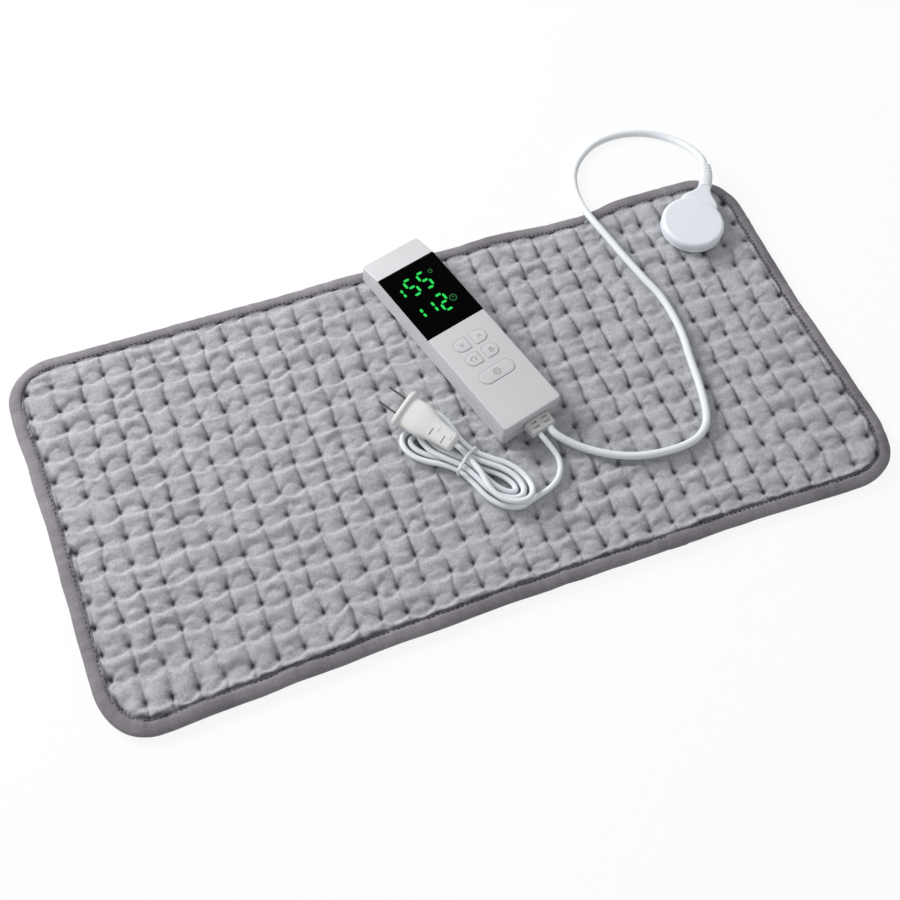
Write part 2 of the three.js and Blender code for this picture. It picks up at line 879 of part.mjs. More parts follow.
// The boot's neck passes the end wall of both shells here
function bootSlot() {
  const top = bootZ + boot.neckHeight / 2 + gap;
  const bottom = bootZ - boot.neckHeight / 2 - gap;
  const y = controller.wall / 2 - controller.length / 2;
  return box(boot.neckWidth + 2 * gap, controller.wall + 2 * overrun, bottom, top, boot.shift, y);
}

function backShell() {
  const { length, width, cornerRadius, wall, splitZ } = controller;
  const shell = roundedPrism(width, length, cornerRadius, 0, splitZ);
  const inside = box(width - 2 * wall, length - 2 * wall, wall, splitZ + overrun);
  const hole = screw.radius + gap;
  const bosses = screwPlaces().map(([x, y]) => upright(hole + boss.wall, wall / 2, splitZ, x, y));
  const ribs = [-1, 1].map((side) =>
    box(board.ribWidth, board.ribLength, wall / 2, splitZ, side * board.ribX),
  );
  const holes = screwPlaces().flatMap(([x, y]) => [
    upright(hole, -overrun, splitZ + overrun, x, y),
    upright(screw.headRadius + gap, -overrun, screw.headHeight + 2 * gap, x, y),
  ]);
  return cut(join(cut(shell, inside), ...bosses, ...ribs), ...holes, bootSlot());
}

function frontShell() {
  const { length, width, cornerRadius, wall, roof, splitZ, height, capLength, capDrop } = controller;
  const bottom = splitZ + gap;
  const outline = roundedPrism(width, length, cornerRadius, bottom, height + overrun);
  const shell = common(acrossPrism(sideOutline(0, 0, bottom), width + 2 * overrun), outline);
  const inside = acrossPrism(sideOutline(wall, roof, bottom - overrun), width - 2 * wall);
  const hole = screw.radius + gap;
  const bossTop = height - roof / 2;
  const capBossTop = bossTop - (capDrop * (capLength - screw.endInset)) / capLength;
  const bosses = screwPlaces().map(([x, y]) =>
    upright(hole + boss.wall, bottom, y > 0 ? capBossTop : bossTop, x, y),
  );
  const bores = screwPlaces().map(([x, y]) => upright(hole, bottom - overrun, screwTopZ + gap, x, y));
  const windowFloor = height - controller.windowThickness - gap;
  const windowY = (windowTopY + windowBottomY) / 2;
  const recess = box(width + 2 * overrun, controller.windowLength, windowFloor, height + overrun, 0, windowY);
  const displayHole = box(
    controller.displayWidth + 2 * gap,
    controller.displayLength + 2 * gap,
    cavityTopZ - overrun,
    height,
    0,
    windowY,
  );
  const buttonHoles = buttonPlaces.map((place) =>
    skin([keyRing(place, gap, cavityTopZ - overrun), keyRing(place, gap, height + overrun)]),
  );
  return cut(join(cut(shell, inside), ...bosses), ...bores, recess, displayHole, ...buttonHoles, bootSlot());
}

const screwTopZ = gap + screw.headHeight + screw.length;

function screwBody() {
  return turned(
    [
      [0, gap],
      [screw.headRadius, gap],
      [screw.headRadius, gap + screw.headHeight],
      [screw.radius, gap + screw.headHeight],
      [screw.radius, screwTopZ],
      [0, screwTopZ],
    ],
    14,
  );
}

// A key with a wider flange under the shell's roof
function buttonBody(place) {
  const top = controller.height + button.proud;
  const flangeTop = cavityTopZ - gap;
  const flangeBottom = flangeTop - button.flangeThickness;
  return skin([
    keyRing(place, button.flange, flangeBottom),
    keyRing(place, button.flange, flangeTop),
    keyRing(place, 0, flangeTop),
    keyRing(place, 0, top - button.edgeRound),
    keyRing(place, -button.edgeRound, top),
  ]);
}

function switchBody(place) {
  const plungerTop = cavityTopZ - gap - button.flangeThickness - button.travel - gap / 2;
  const { size, bodyHeight, plungerRadius } = tactSwitch;
  const bodyTop = partsZ + bodyHeight;
  const body = box(size, size, partsZ, bodyTop, place.x, place.y);
  return join(body, upright(plungerRadius, bodyTop - gap, plungerTop, place.x, place.y, 12));
}

function bootBody() {
  const outerY = -controller.length / 2 - gap;
  const innerY = controller.wall - controller.length / 2 + gap;
  const bottom = bootZ - boot.height / 2;
  const top = bootZ + boot.height / 2;
  const outside = roundedPrism(boot.width, boot.length, boot.radius, bottom, top).translate(
    boot.shift,
    outerY - boot.length / 2,
    0,
  );
  const neckHalf = boot.neckHeight / 2;
  const neckLength = innerY - outerY + 2 * gap;
  const neckY = (innerY + outerY) / 2;
  const neck = box(boot.neckWidth, neckLength, bootZ - neckHalf, bootZ + neckHalf, boot.shift, neckY);
  const flangeHalf = boot.flangeHeight / 2;
  const flange = box(
    boot.flangeWidth,
    boot.flangeLength,
    bootZ - flangeHalf,
    bootZ + flangeHalf,
    boot.shift,
    innerY + boot.flangeLength / 2,
  );
  const slots = boot.slotRows.flatMap((row) =>
    [-1, 1].map((side) =>
      box(
        boot.slotWidth,
        boot.slotLength,
        top - boot.slotDepth,
        top + overrun,
        boot.shift + (side * boot.cordSpacing) / 2,
        outerY - row,
      ),
    ),
  );
  return cut(join(outside, neck, flange), ...slots);
}

// The board's tall parts stand in a row between the display and the first keys
const boardHalfWidth = controller.width / 2 - controller.wall - board.sideClearance;
const firstKeyTopY = buttonPlaces[0].y + button.length / 2 + button.flange;
const partRowY = firstKeyTopY + board.partClearance;

function standing({ width, length, height }, x) {
  return box(width, length, partsZ, partsZ + height, x, partRowY + length / 2);
}

function controllerPieces() {
  const { width, height, windowThickness, windowLength } = controller;
  const group = new THREE.Group();
  group.position.set(controller.x, controller.y, topZ);
  group.rotation.z = THREE.MathUtils.degToRad(controller.turn);
  const windowY = (windowTopY + windowBottomY) / 2;
  const boardLength = 2 * (screwY - screw.radius - gap - boss.wall - board.sideClearance);
  const displayTop = height - windowThickness - 2 * gap;
  const fuseX = board.partClearance + fuse.length / 2 - boardHalfWidth;
  const triacX = boardHalfWidth - board.partClearance - triac.width / 2;
  const capacitorX = (fuse.length - triac.width) / 2;
  const fuseBody = new THREE.CylinderGeometry(fuse.radius, fuse.radius, fuse.length, 16)
    .rotateZ(Math.PI / 2)
    .translate(fuseX, partRowY + fuse.radius, partsZ + fuse.radius);
  group.add(
    piece("controller_back_shell", backShell(), "whitePlastic"),
    piece("controller_front_shell", frontShell(), "whitePlastic"),
    piece(
      "display_window",
      box(width, windowLength - 2 * gap, height - windowThickness, height, 0, windowY),
      "blackWindow",
    ),
    piece(
      "display_module",
      box(controller.displayWidth, controller.displayLength, partsZ, displayTop, 0, windowY),
      "darkPlastic",
    ),
    piece("circuit_board", box(2 * boardHalfWidth, boardLength, boardZ, boardTopZ), "boardGreen"),
    piece("fuse", fuseBody, "ceramic"),
    piece("filter_capacitor", standing(capacitor, capacitorX), "darkPlastic"),
    piece("triac", standing(triac, triacX), "darkPlastic"),
    piece("controller_strain_relief", bootBody(), "cordPlastic"),
  );
  screwPlaces().forEach(([x, y], k) => {
    group.add(piece(`controller_screw_${k + 1}`, screwBody().translate(x, y, 0), "steel"));
  });
  buttonPlaces.forEach((place) => {
    group.add(
      piece(`button_${place.name}`, buttonBody(place), "whitePlastic"),
      piece(`switch_${place.name}`, switchBody(place), "darkPlastic"),
    );
  });
  return group;
}

// A point given in a turned group's own frame, in the pad's frame
function fromGroup(group, x, y, z) {
  group.updateMatrixWorld(true);
  return new THREE.Vector3(x, y, z).applyMatrix4(group.matrixWorld);
}

function stretch(start, startDirection, route, end, endDirection, cord) {
  const lead = cord.diameter;
  return [
    start,
    start.clone().addScaledVector(startDirection, lead),
    ...route.map(([x, y, z]) => new THREE.Vector3(x, y, z)),
    end.clone().addScaledVector(endDirection, -lead),
    end,
  ];
}

// The hank's lowest layer rests on the pad at the lobes and on the tie at the waist
const hankZ = topZ + mains.diameter / 2;
const waistLift = tie.thickness + gap;

// One point of the hank at a number of turns. A turn starts at the right end, goes through the waist,
// round a lobe on the left and back. It spirals in for one layer and out again for the next, and
// then a last quarter turn leaves over the middle of the waist.
function hankPoint(turn) {
  const perLayer = hank.loopsPerLayer;
  const spiral = Math.max(perLayer - Math.abs(turn - perLayer), 0);
  const angle = turn * 2 * Math.PI;
  const along = (hank.reach - hank.lobePitch * spiral) * Math.cos(angle);
  const lobe = hank.lobeHalfWidth - hank.lobePitch * spiral;
  const waist = turn > hank.loops ? 0 : hank.waistHalfWidth - hank.waistPitch * spiral;
  const narrow = Math.exp(-((along / hank.waistLength) ** 2));
  const across = -Math.sin(angle) * (lobe + (waist - lobe) * narrow);
  const layerClimb = smooth((turn - perLayer) / hank.climbTurns + 0.5);
  const exitClimb = smooth((turn - hank.loops + hank.exitClimbLead) / hank.exitClimbTurns);
  const climb = layerClimb + exitClimb;
  const lobeTurn = hank.lobeTurns[turn < perLayer ? 0 : 1] * smooth(-along / hank.lobeTurnLength);
  const place = new THREE.Vector3(along, across, hankZ + waistLift * narrow + climb * hank.layerPitch);
  return place.applyAxisAngle(new THREE.Vector3(0, 0, 1), THREE.MathUtils.degToRad(lobeTurn));
}

// A band drawn tight round parallel strands: arcs about the outer strands' centres, in the YZ plane
function bandRound(centres, radius, cornerSteps) {
  const points = [];
  centres.forEach(([y, z], k) => {
    const [beforeY, beforeZ] = centres[(k + centres.length - 1) % centres.length];
    const [afterY, afterZ] = centres[(k + 1) % centres.length];
    const start = Math.atan2(z - beforeZ, y - beforeY) - Math.PI / 2;
    let sweep = Math.atan2(afterZ - z, afterY - y) - Math.PI / 2 - start;
    if (sweep < 0) sweep += 2 * Math.PI;
    for (let step = 0; step <= cornerSteps; step++) {
      const angle = start + (step / cornerSteps) * sweep;
      points.push(new THREE.Vector3(0, y + radius * Math.cos(angle), z + radius * Math.sin(angle)));
    }
  });
  return points;
}

// Length of the wound cord, and the least distance between the surfaces of stretches that aren't neighbours
function measureHank(points) {
  const samplesPerDiameter = 4;
  const neighbourDiameters = 3;
  const samples = points.slice(1).flatMap((end, k) => {
    const start = points[k];
    const count = Math.ceil((samplesPerDiameter * start.distanceTo(end)) / mains.diameter);
    return Array.from({ length: count }, (_, i) => start.clone().lerp(end, i / count));
  });
  const length = points.slice(1).reduce((sum, end, k) => sum + end.distanceTo(points[k]), 0);
  const neighbours = Math.round(neighbourDiameters * samplesPerDiameter);
  let least = Infinity;
  samples.forEach((sample, i) => {
    for (let j = i + neighbours; j < samples.length; j++) {
      least = Math.min(least, sample.distanceTo(samples[j]));
    }
  });
  return { length, gap: least - mains.diameter };
}

function plugPieces(group) {
  const faceY = plug.length;
  const flangeY = faceY - plug.flangeLength;
  const body = loft([
    { y: 0, halfWidth: plug.endHalfWidth, halfHeight: plug.endHalfHeight },
    { y: plug.gripLength, halfWidth: plug.gripHalfWidth, halfHeight: plug.gripHalfHeight },
    { y: plug.shoulderLength, halfWidth: plug.waistHalfWidth, halfHeight: plug.waistHalfHeight },
    { y: flangeY - plug.neckLength, halfWidth: plug.waistHalfWidth, halfHeight: plug.waistHalfHeight },
    { y: flangeY, halfWidth: plug.flangeHalfWidth, halfHeight: plug.flangeHalfHeight },
    { y: faceY, halfWidth: plug.flangeHalfWidth, halfHeight: plug.flangeHalfHeight },
  ]);
  const slot = (side) =>
    box(
      blade.thickness + 2 * gap,
      blade.embedded + gap + overrun,
      -blade.width / 2 - gap,
      blade.width / 2 + gap,
      (side * blade.spacing) / 2,
      faceY - (blade.embedded + gap - overrun) / 2,
    );
  group.add(piece("plug_body", cut(body, slot(-1), slot(1)), "plugPlastic"));
  const half = blade.width / 2;
  const outline = new THREE.Shape();
  const start = faceY - blade.embedded;
  const tip = faceY + blade.length;
  outline.moveTo(start, -half);
  outline.lineTo(tip - blade.tipCut, -half);
  outline.lineTo(tip, blade.tipCut - half);
  outline.lineTo(tip, half - blade.tipCut);
  outline.lineTo(tip - blade.tipCut, half);
  outline.lineTo(start, half);
  const hole = new THREE.Path();
  hole.absarc(tip - blade.holeInset, 0, blade.holeRadius, 0, 2 * Math.PI, true);
  outline.holes.push(hole);
  ["left", "right"].forEach((name, k) => {
    const x = ((2 * k - 1) * blade.spacing) / 2;
    const plate = acrossPrism(outline, blade.thickness).translate(x, 0, 0);
    group.add(piece(`plug_blade_${name}`, plate, "steel"));
  });
}

const model = new THREE.Group();
const controllerGroup = controllerPieces();
const connectorGroup = connectorPieces();
model.add(padPieces(), socketPieces(), connectorGroup, controllerGroup);

// Mains cord: out of the boot, into the hank's right end, wound, and out of its top to the plug
const hankGroup = new THREE.Group();
hankGroup.position.set(hank.x, hank.y, 0);
hankGroup.rotation.z = THREE.MathUtils.degToRad(hank.turn);
const hankPoints = [];
const hankSteps = (hank.loops + hank.exitTurns) * hank.steps;
for (let k = 0; k <= hankSteps; k++) hankPoints.push(hankPoint(k / hank.steps));
const firstHankPoint = hankPoints[0].clone();
firstHankPoint.y += mains.diameter;
hankPoints.unshift(firstHankPoint);

const plugDirection = THREE.MathUtils.degToRad(plug.turn - 90);
const plugGroup = new THREE.Group();
plugGroup.rotation.set(0, THREE.MathUtils.degToRad(plug.roll), plugDirection, "ZYX");
const plugRear = new THREE.Vector3(plug.x, plug.y, plug.z);
plugGroup.position.copy(plugRear);
plugPieces(plugGroup);
const plugAxis = new THREE.Vector3(-Math.sin(plugDirection), Math.cos(plugDirection), 0);
hankGroup.updateMatrixWorld(true);
const toHank = hankGroup.matrixWorld.clone().invert();
const exitEnd = plugRear.clone().addScaledVector(plugAxis, -gap).applyMatrix4(toHank);
const exitLead = plugRear.clone().addScaledVector(plugAxis, -gap - mains.diameter).applyMatrix4(toHank);
hankPoints.push(exitLead, exitEnd);
const measured = measureHank(hankPoints);
console.log(`hank: ${measured.length.toFixed(0)} mm, least gap to itself ${measured.gap.toFixed(2)} mm`);
hankGroup.add(piece("mains_hank", wound(hankPoints, mains.diameter / 2, hank.sides), "cordPlastic"));

// Tie: one closed loop round the waist
const outerY = hank.waistHalfWidth - hank.waistPitch / 4;
const firstLayerZ = hankZ + waistLift;
const strandCentres = [
  [-outerY, firstLayerZ],
  [outerY, firstLayerZ],
  [outerY, firstLayerZ + hank.layerPitch],
  [0, firstLayerZ + 2 * hank.layerPitch],
  [-outerY, firstLayerZ + hank.layerPitch],
];
const tieRadius = mains.diameter / 2 + gap + tie.thickness / 2;
const tiePoints = bandRound(strandCentres, tieRadius, tie.cornerSteps);
const alongHank = new THREE.Vector3(1, 0, 0);
hankGroup.add(
  piece("hank_tie", wound(tiePoints, tie.thickness / 2, tie.sides, true, alongHank), "cordPlastic"),
);

// The two free stretches
const bootEndY = -controller.length / 2 - 2 * gap - boot.length;
const bootExit = (side) => {
  const x = boot.shift + (side * boot.cordSpacing) / 2;
  return fromGroup(controllerGroup, x, bootEndY, bootZ);
};
const bootTurn = THREE.MathUtils.degToRad(controller.turn);
const bootOut = new THREE.Vector3(Math.sin(bootTurn), -Math.cos(bootTurn), 0);
const reliefStart = connector.neckY + gap;
const reliefExit = afterBend(0, reliefStart + relief.length + gap, reliefStart);
const reliefEnd = fromGroup(connectorGroup, ...reliefExit, relief.axisZ);
const reliefTurn = THREE.MathUtils.degToRad(connector.turn + relief.bend);
const intoRelief = new THREE.Vector3(Math.sin(reliefTurn), -Math.cos(reliefTurn), 0);
const padCordWay = [
  ...padCordRoute.fromCentre,
  ...padCordRoute.fromSocket.map(([x, y, z]) => [socket.x + x, socket.y + y, z]),
];
const padCordPoints = stretch(bootExit(1), bootOut, padCordWay, reliefEnd, intoRelief, padCord);
const hankStart = fromGroup(hankGroup, firstHankPoint.x, firstHankPoint.y + gap, firstHankPoint.z);
const hankTurn = THREE.MathUtils.degToRad(hank.turn);
const intoHank = new THREE.Vector3(Math.sin(hankTurn), -Math.cos(hankTurn), 0);
const mainsPoints = stretch(bootExit(-1), bootOut, mainsRoute, hankStart, intoHank, mains);
model.add(
  piece("pad_cord", cordTube(padCordPoints, padCord), "cordPlastic"),
  piece("mains_lead", cordTube(mainsPoints, mains), "cordPlastic"),
  hankGroup,
  plugGroup,
);

export default model;
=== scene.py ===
import math

import bmesh
import bpy
import numpy as np
from mathutils import Matrix


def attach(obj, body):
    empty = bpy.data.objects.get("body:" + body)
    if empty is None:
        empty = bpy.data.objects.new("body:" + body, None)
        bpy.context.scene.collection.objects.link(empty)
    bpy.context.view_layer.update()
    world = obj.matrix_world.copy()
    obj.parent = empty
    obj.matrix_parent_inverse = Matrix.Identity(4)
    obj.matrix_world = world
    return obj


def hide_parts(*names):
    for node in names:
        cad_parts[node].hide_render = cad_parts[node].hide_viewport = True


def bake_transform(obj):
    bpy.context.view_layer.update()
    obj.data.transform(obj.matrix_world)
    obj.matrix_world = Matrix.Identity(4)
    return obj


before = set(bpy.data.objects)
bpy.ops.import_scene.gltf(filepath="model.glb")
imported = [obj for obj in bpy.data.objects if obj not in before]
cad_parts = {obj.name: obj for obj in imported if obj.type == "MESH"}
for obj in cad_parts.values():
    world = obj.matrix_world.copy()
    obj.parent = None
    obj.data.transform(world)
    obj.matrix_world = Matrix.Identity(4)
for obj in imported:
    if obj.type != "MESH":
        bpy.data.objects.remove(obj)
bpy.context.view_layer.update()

metresPerMm = 0.001
padBody = "pad_with_controller"
gap = 0.3
chance = np.random.default_rng(20)


def smooth(value):  # 3t² - 2t³ between 0 and 1
    t = np.clip(value, 0, 1)
    return t * t * (3 - 2 * t)


def bell(value, width):  # exp(-(value / width)²)
    return np.exp(-((value / width) ** 2))


def signedPower(value, power):  # |value|^power with the value's sign
    return np.sign(value) * np.abs(value) ** power


def roundOff(radius, fromEnd):  # how far a round edge is drawn in: r - √(r² - (r - distance)²)
    return radius - np.sqrt(np.clip(radius**2 - (radius - fromEnd).clip(0) ** 2, 0, None))


def quarterTurn(count=6):  # angles from 0 to 90 degrees
    return np.linspace(0, math.pi / 2, count)


def fullTurn(sides):  # angles all the way round, without the last
    return np.arange(sides) * 2 * math.pi / sides


def unit(vectors):
    return vectors / np.linalg.norm(vectors, axis=-1, keepdims=True)


def placed(points, place, turn):
    # Points turned about Z by an angle in degrees, then moved
    c, s = math.cos(math.radians(turn)), math.sin(math.radians(turn))
    x, y, z = points[..., 0], points[..., 1], points[..., 2]
    return np.stack([place[0] + c * x - s * y, place[1] + s * x + c * y, place[2] + z], axis=-1)


# A body is its points, its quads and its triangles

def gridFaces(rows, columns, closedRows=False, closedColumns=False):
    # Quads between neighbours of a grid that is numbered row by row, wrapped where it is closed
    r = np.arange(rows - (not closedRows))[:, None]
    c = np.arange(columns - (not closedColumns))[None, :]
    r2, c2 = (r + 1) % rows, (c + 1) % columns
    corners = [r * columns + c, r * columns + c2, r2 * columns + c2, r2 * columns + c]
    return np.stack(corners, axis=-1).reshape(-1, 4)


def ringBody(rings, closed=False):
    # Rings of points skinned in order. An open run of rings gets a fan over each end.
    count, sides = rings.shape[:2]
    points = rings.reshape(-1, 3)
    quads = gridFaces(count, sides, closed, True)
    if closed:
        return points, quads, np.zeros((0, 3), int)
    here = np.arange(sides)
    after = np.roll(here, -1)
    lastRing = (count - 1) * sides
    startFan = np.stack([after, here, np.full(sides, len(points))], axis=1)
    endFan = np.stack([lastRing + here, lastRing + after, np.full(sides, len(points) + 1)], axis=1)
    middles = rings[[0, -1]].mean(axis=1)
    return np.concatenate([points, middles]), quads, np.concatenate([startFan, endFan])


def together(*bodies):
    starts = np.cumsum([0] + [len(points) for points, _, _ in bodies])
    return (
        np.concatenate([points for points, _, _ in bodies]),
        np.concatenate([quads + start for (_, quads, _), start in zip(bodies, starts)]),
        np.concatenate([tris + start for (_, _, tris), start in zip(bodies, starts)]),
    )


def repeated(body, places, across, along):
    # A small body copied to many places: its X goes along `across`, its Y along `along`, its Z up from both
    points, quads, tris = body
    axes = np.stack([across, along, np.cross(across, along)], axis=1)
    copies = places[:, None] + np.einsum("pk,nkd->npd", points, axes)
    starts = (np.arange(len(places)) * len(points))[:, None, None]
    return copies.reshape(-1, 3), (quads + starts).reshape(-1, 4), (tris + starts).reshape(-1, 3)


def moved(body, place, turn=0):
    return (placed(body[0], place, turn),) + body[1:]


def laid(body, place):
    # A body put where one of the dictionaries of places says
    return moved(body, place["at"], place["turn"])


def rolled(body, angle):
    # A body turned about Y by an angle in degrees
    c, s = math.cos(math.radians(angle)), math.sin(math.radians(angle))
    x, y, z = body[0].T
    return (np.stack([c * x + s * z, y, c * z - s * x], axis=1),) + body[1:]


def added(name, data):
    made = bpy.data.objects.new(name, data)
    bpy.context.scene.collection.objects.link(made)
    return made


def shadeSmooth(mesh, sharpAngle):
    mesh.polygons.foreach_set("use_smooth", np.ones(len(mesh.polygons), bool))
    mesh.set_sharp_from_angle(angle=math.radians(sharpAngle))


def makePiece(name, body, finish=None, sharpAngle=35):
    points, quads, tris = body
    mesh = bpy.data.meshes.new(name)
    mesh.from_pydata((points * metresPerMm).tolist(), [], quads.tolist() + tris.tolist())
    work = bmesh.new()
    work.from_mesh(mesh)
    bmesh.ops.recalc_face_normals(work, faces=work.faces)
    work.to_mesh(mesh)
    work.free()
    piece = added(name, mesh)
    if finish:
        mesh.materials.append(finishes[finish])
    shadeSmooth(mesh, sharpAngle)
    return piece


def carve(piece, steps, sharpAngle):
    # Joins or cuts bodies in turn and keeps the result as the piece's own mesh
    tools = []
    for operation, body in steps:
        tool = makePiece(f"{piece.name}_tool", body)
        change = piece.modifiers.new(operation, "BOOLEAN")
        change.operation = operation
        change.solver = "EXACT"
        change.object = tool
        tools.append(tool)
    bpy.context.view_layer.update()
    evaluated = piece.evaluated_get(bpy.context.evaluated_depsgraph_get())
    mesh = bpy.data.meshes.new_from_object(evaluated)
    piece.modifiers.clear()
    piece.data = mesh
    for tool in tools:
        bpy.data.objects.remove(tool)
    shadeSmooth(mesh, sharpAngle)


def measure(piece, name, values):
    # A number at each of a piece's points, for its finish
    measured = piece.data.attributes.new(name, "FLOAT", "POINT")
    measured.data.foreach_set("value", values)


def settle(piece, body, slot, *replaced):
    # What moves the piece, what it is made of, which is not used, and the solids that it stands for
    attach(piece, body)
    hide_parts(*replaced)


def stand(name, data, place, axes):
    # A camera or lamp at a place, with its X, Y and Z along three directions
    holder = added(name, data)
    holder.matrix_world = Matrix.Translation(place) @ Matrix(np.stack(axes, axis=1).tolist()).to_4x4()
    return holder


# Shader maths

class Varying:
    # A number that varies over a surface: each sum with it adds one Math node
    def __init__(self, nodes, socket):
        self.nodes, self.socket = nodes, socket

    def __add__(self, other):
        return self.nodes.maths("ADD", self, other)

    def __sub__(self, other):
        return self.nodes.maths("SUBTRACT", self, other)

    def __mul__(self, other):
        return self.nodes.maths("MULTIPLY", self, other)

    __radd__, __rmul__ = __add__, __mul__


class Nodes:
    def __init__(self, tree):
        self.tree = tree

    def node(self, kind, *fed, output=0, settings=None, **inputs):
        # A new node, its inputs fed in order or by name. What it gives back can be used in sums.
        made = self.tree.nodes.new(kind)
        for name, value in (settings or {}).items():
            setattr(made, name, value)
        for name, value in [*enumerate(fed), *inputs.items()]:
            self.feed(made.inputs[name], value)
        return Varying(self, made.outputs[output]) if made.outputs else made

    def feed(self, socket, value):
        if isinstance(value, Varying):
            self.tree.links.new(value.socket, socket)
        else:
            socket.default_value = value

    def maths(self, operation, *values):
        return self.node("ShaderNodeMath", *values, settings={"operation": operation})


class Finish(Nodes):
    def __init__(self, name, **constants):
        self.material = bpy.data.materials.new(name)
        self.material.use_nodes = True
        super().__init__(self.material.node_tree)
        self.shader = next(n for n in self.tree.nodes if n.type == "BSDF_PRINCIPLED")
        for constant, value in constants.items():
            self.give(constant.replace("_", " "), value)
        self.place = self.node("ShaderNodeTexCoord", output="Object")

    def give(self, socket, value):
        self.feed(self.shader.inputs[socket], value)

    def clamped(self, value):
        return self.node("ShaderNodeClamp", value)

    def noise(self, scale, detail=2.0, roughness=0.5, place=None, distortion=0.0):
        return self.node(
            "ShaderNodeTexNoise", Vector=place or self.place, Scale=scale, Detail=detail, Roughness=roughness,
            Distortion=distortion,
        )

    def attribute(self, name):
        return self.node("ShaderNodeAttribute", settings={"attribute_name": name}, output="Fac")

    def stretched(self, scales):
        return self.node("ShaderNodeMapping", Vector=self.place, Scale=scales)

    def mix(self, factor, first, second):
        made = self.tree.nodes.new("ShaderNodeMix")
        made.data_type = "RGBA"
        for socket, value in zip((0, 6, 7), (factor, first, second)):
            self.feed(made.inputs[socket], value)
        return Varying(self, made.outputs[2])

    def coated(self, color, rough=None, height=None, distance=0.0, strength=1.0):
        # Colour, roughness and a bump, where the finish has them
        self.give("Base Color", color)
        if rough:
            self.give("Roughness", rough)
        if height:
            bump = self.node("ShaderNodeBump", Height=height, Distance=distance, Strength=strength)
            self.give("Normal", bump)
        return self.material


def tone(red, green, blue):
    # A colour as it shows on a screen, from 0 to 255, as the shader's linear one
    shares = np.array([red, green, blue]) / 255
    linear = np.where(shares > 0.04045, ((shares + 0.055) / 1.055) ** 2.4, shares / 12.92)
    return (*linear.tolist(), 1.0)


# Camera

camera = {
    "place": (-0.2305, -0.4484, 0.8585),
    "right": (0.93298, -0.35469, 0.06114),
    "up": (0.28235, 0.82662, 0.48681),
    "back": (-0.22321, -0.43692, 0.87137),
    "lens": 53.608,
    "film": 36,
    "nearest": 0.01,
}


def makeCamera():
    seen = bpy.data.cameras.new("view")
    seen.lens = camera["lens"]
    seen.sensor_width = camera["film"]
    seen.clip_start = camera["nearest"]
    axes = (camera["right"], camera["up"], camera["back"])
    bpy.context.scene.camera = stand("view", seen, camera["place"], axes)


makeCamera()


# Cords

connectorPlace = {"at": (244.5, 105, 11.8), "turn": -40}
controllerPlace = {"at": (24.9, 61.6, 11.8), "turn": 15.75}
hankPlace = {"at": (-6.9, -39.2, 0), "turn": -53.7}
plugPlace = {"at": (-13.4, -29.7, 30.3), "turn": 31.4, "roll": -25.6}
reliefBend = {"start": 41.3, "length": 23.5, "turn": 27, "axisZ": 4.6}

padCord = {
    "diameter": 5.8,
    "sides": 16,
    "step": 1.6,
    "exit": (7.6, -101.3, 8.5),
    "route": [
        (70, -49, 17.6), (81, -57.5, 15.4), (97, -67.5, 14.9), (114, -74.2, 14.9), (132, -77.3, 14.9),
        (150, -77.3, 14.9), (164, -73.6, 14.9), (174, -65, 14.9), (180, -50, 14.9), (184.2, -30.3, 14.9),
        (187.9, -6.9, 14.9), (190.8, 9, 14.9), (192, 27, 14.9), (190.5, 50, 14.9), (185, 71, 14.9),
        (179, 95, 14.9), (173.9, 118, 15.1), (170.4, 134, 15), (169, 146, 13.5), (169.7, 156, 10.5),
        (171.6, 166, 7), (174.3, 177.5, 4.2), (178.8, 190.6, 3.1), (185.5, 200.9, 3.1), (194.7, 209.4, 3.1),
        (207.3, 217, 3.1), (221.1, 220.6, 3.1), (234.4, 221, 3.1), (248.4, 218.7, 3.1), (261.4, 213.4, 3.1),
        (271.2, 205.6, 4.1), (278.4, 195.2, 6.9), (282, 183.8, 10.6), (283.3, 172.2, 14.2),
    ],
    "farEnd": "connector",
    "lay": "loose",
}
mains = {
    "diameter": 4.2,
    "sides": 12,
    "step": 1.3,
    "exit": (-1.6, -101.3, 8.5),
    "route": [
        (55.5, -49, 17.6), (57.6, -57, 15.4), (56, -65, 14.4), (50, -73, 14.2), (41, -78, 14.2),
        (35, -79.6, 14.2),
    ],
    "farEnd": "plug",
    "lay": "coiled",
}
hank = {
    "loops": 4,
    "loopsPerLayer": 2,
    "lobePitch": 6.3,
    "waistPitch": 4.9,
    "layerPitch": 4.8,
    "reach": 53.6,
    "lobeHalfWidth": 23,
    "waistHalfWidth": 9.8,
    "waistLength": 28,
    "lobeTurns": (8, -14),
    "lobeTurnLength": 50,
    "climbTurns": 0.5,
    "exitClimbLead": 0.12,
    "exitClimbTurns": 0.15,
    "exitTurns": 0.25,
    "steps": 24,
    "bottomZ": 13.9,
    "waistLift": 1.4,
}


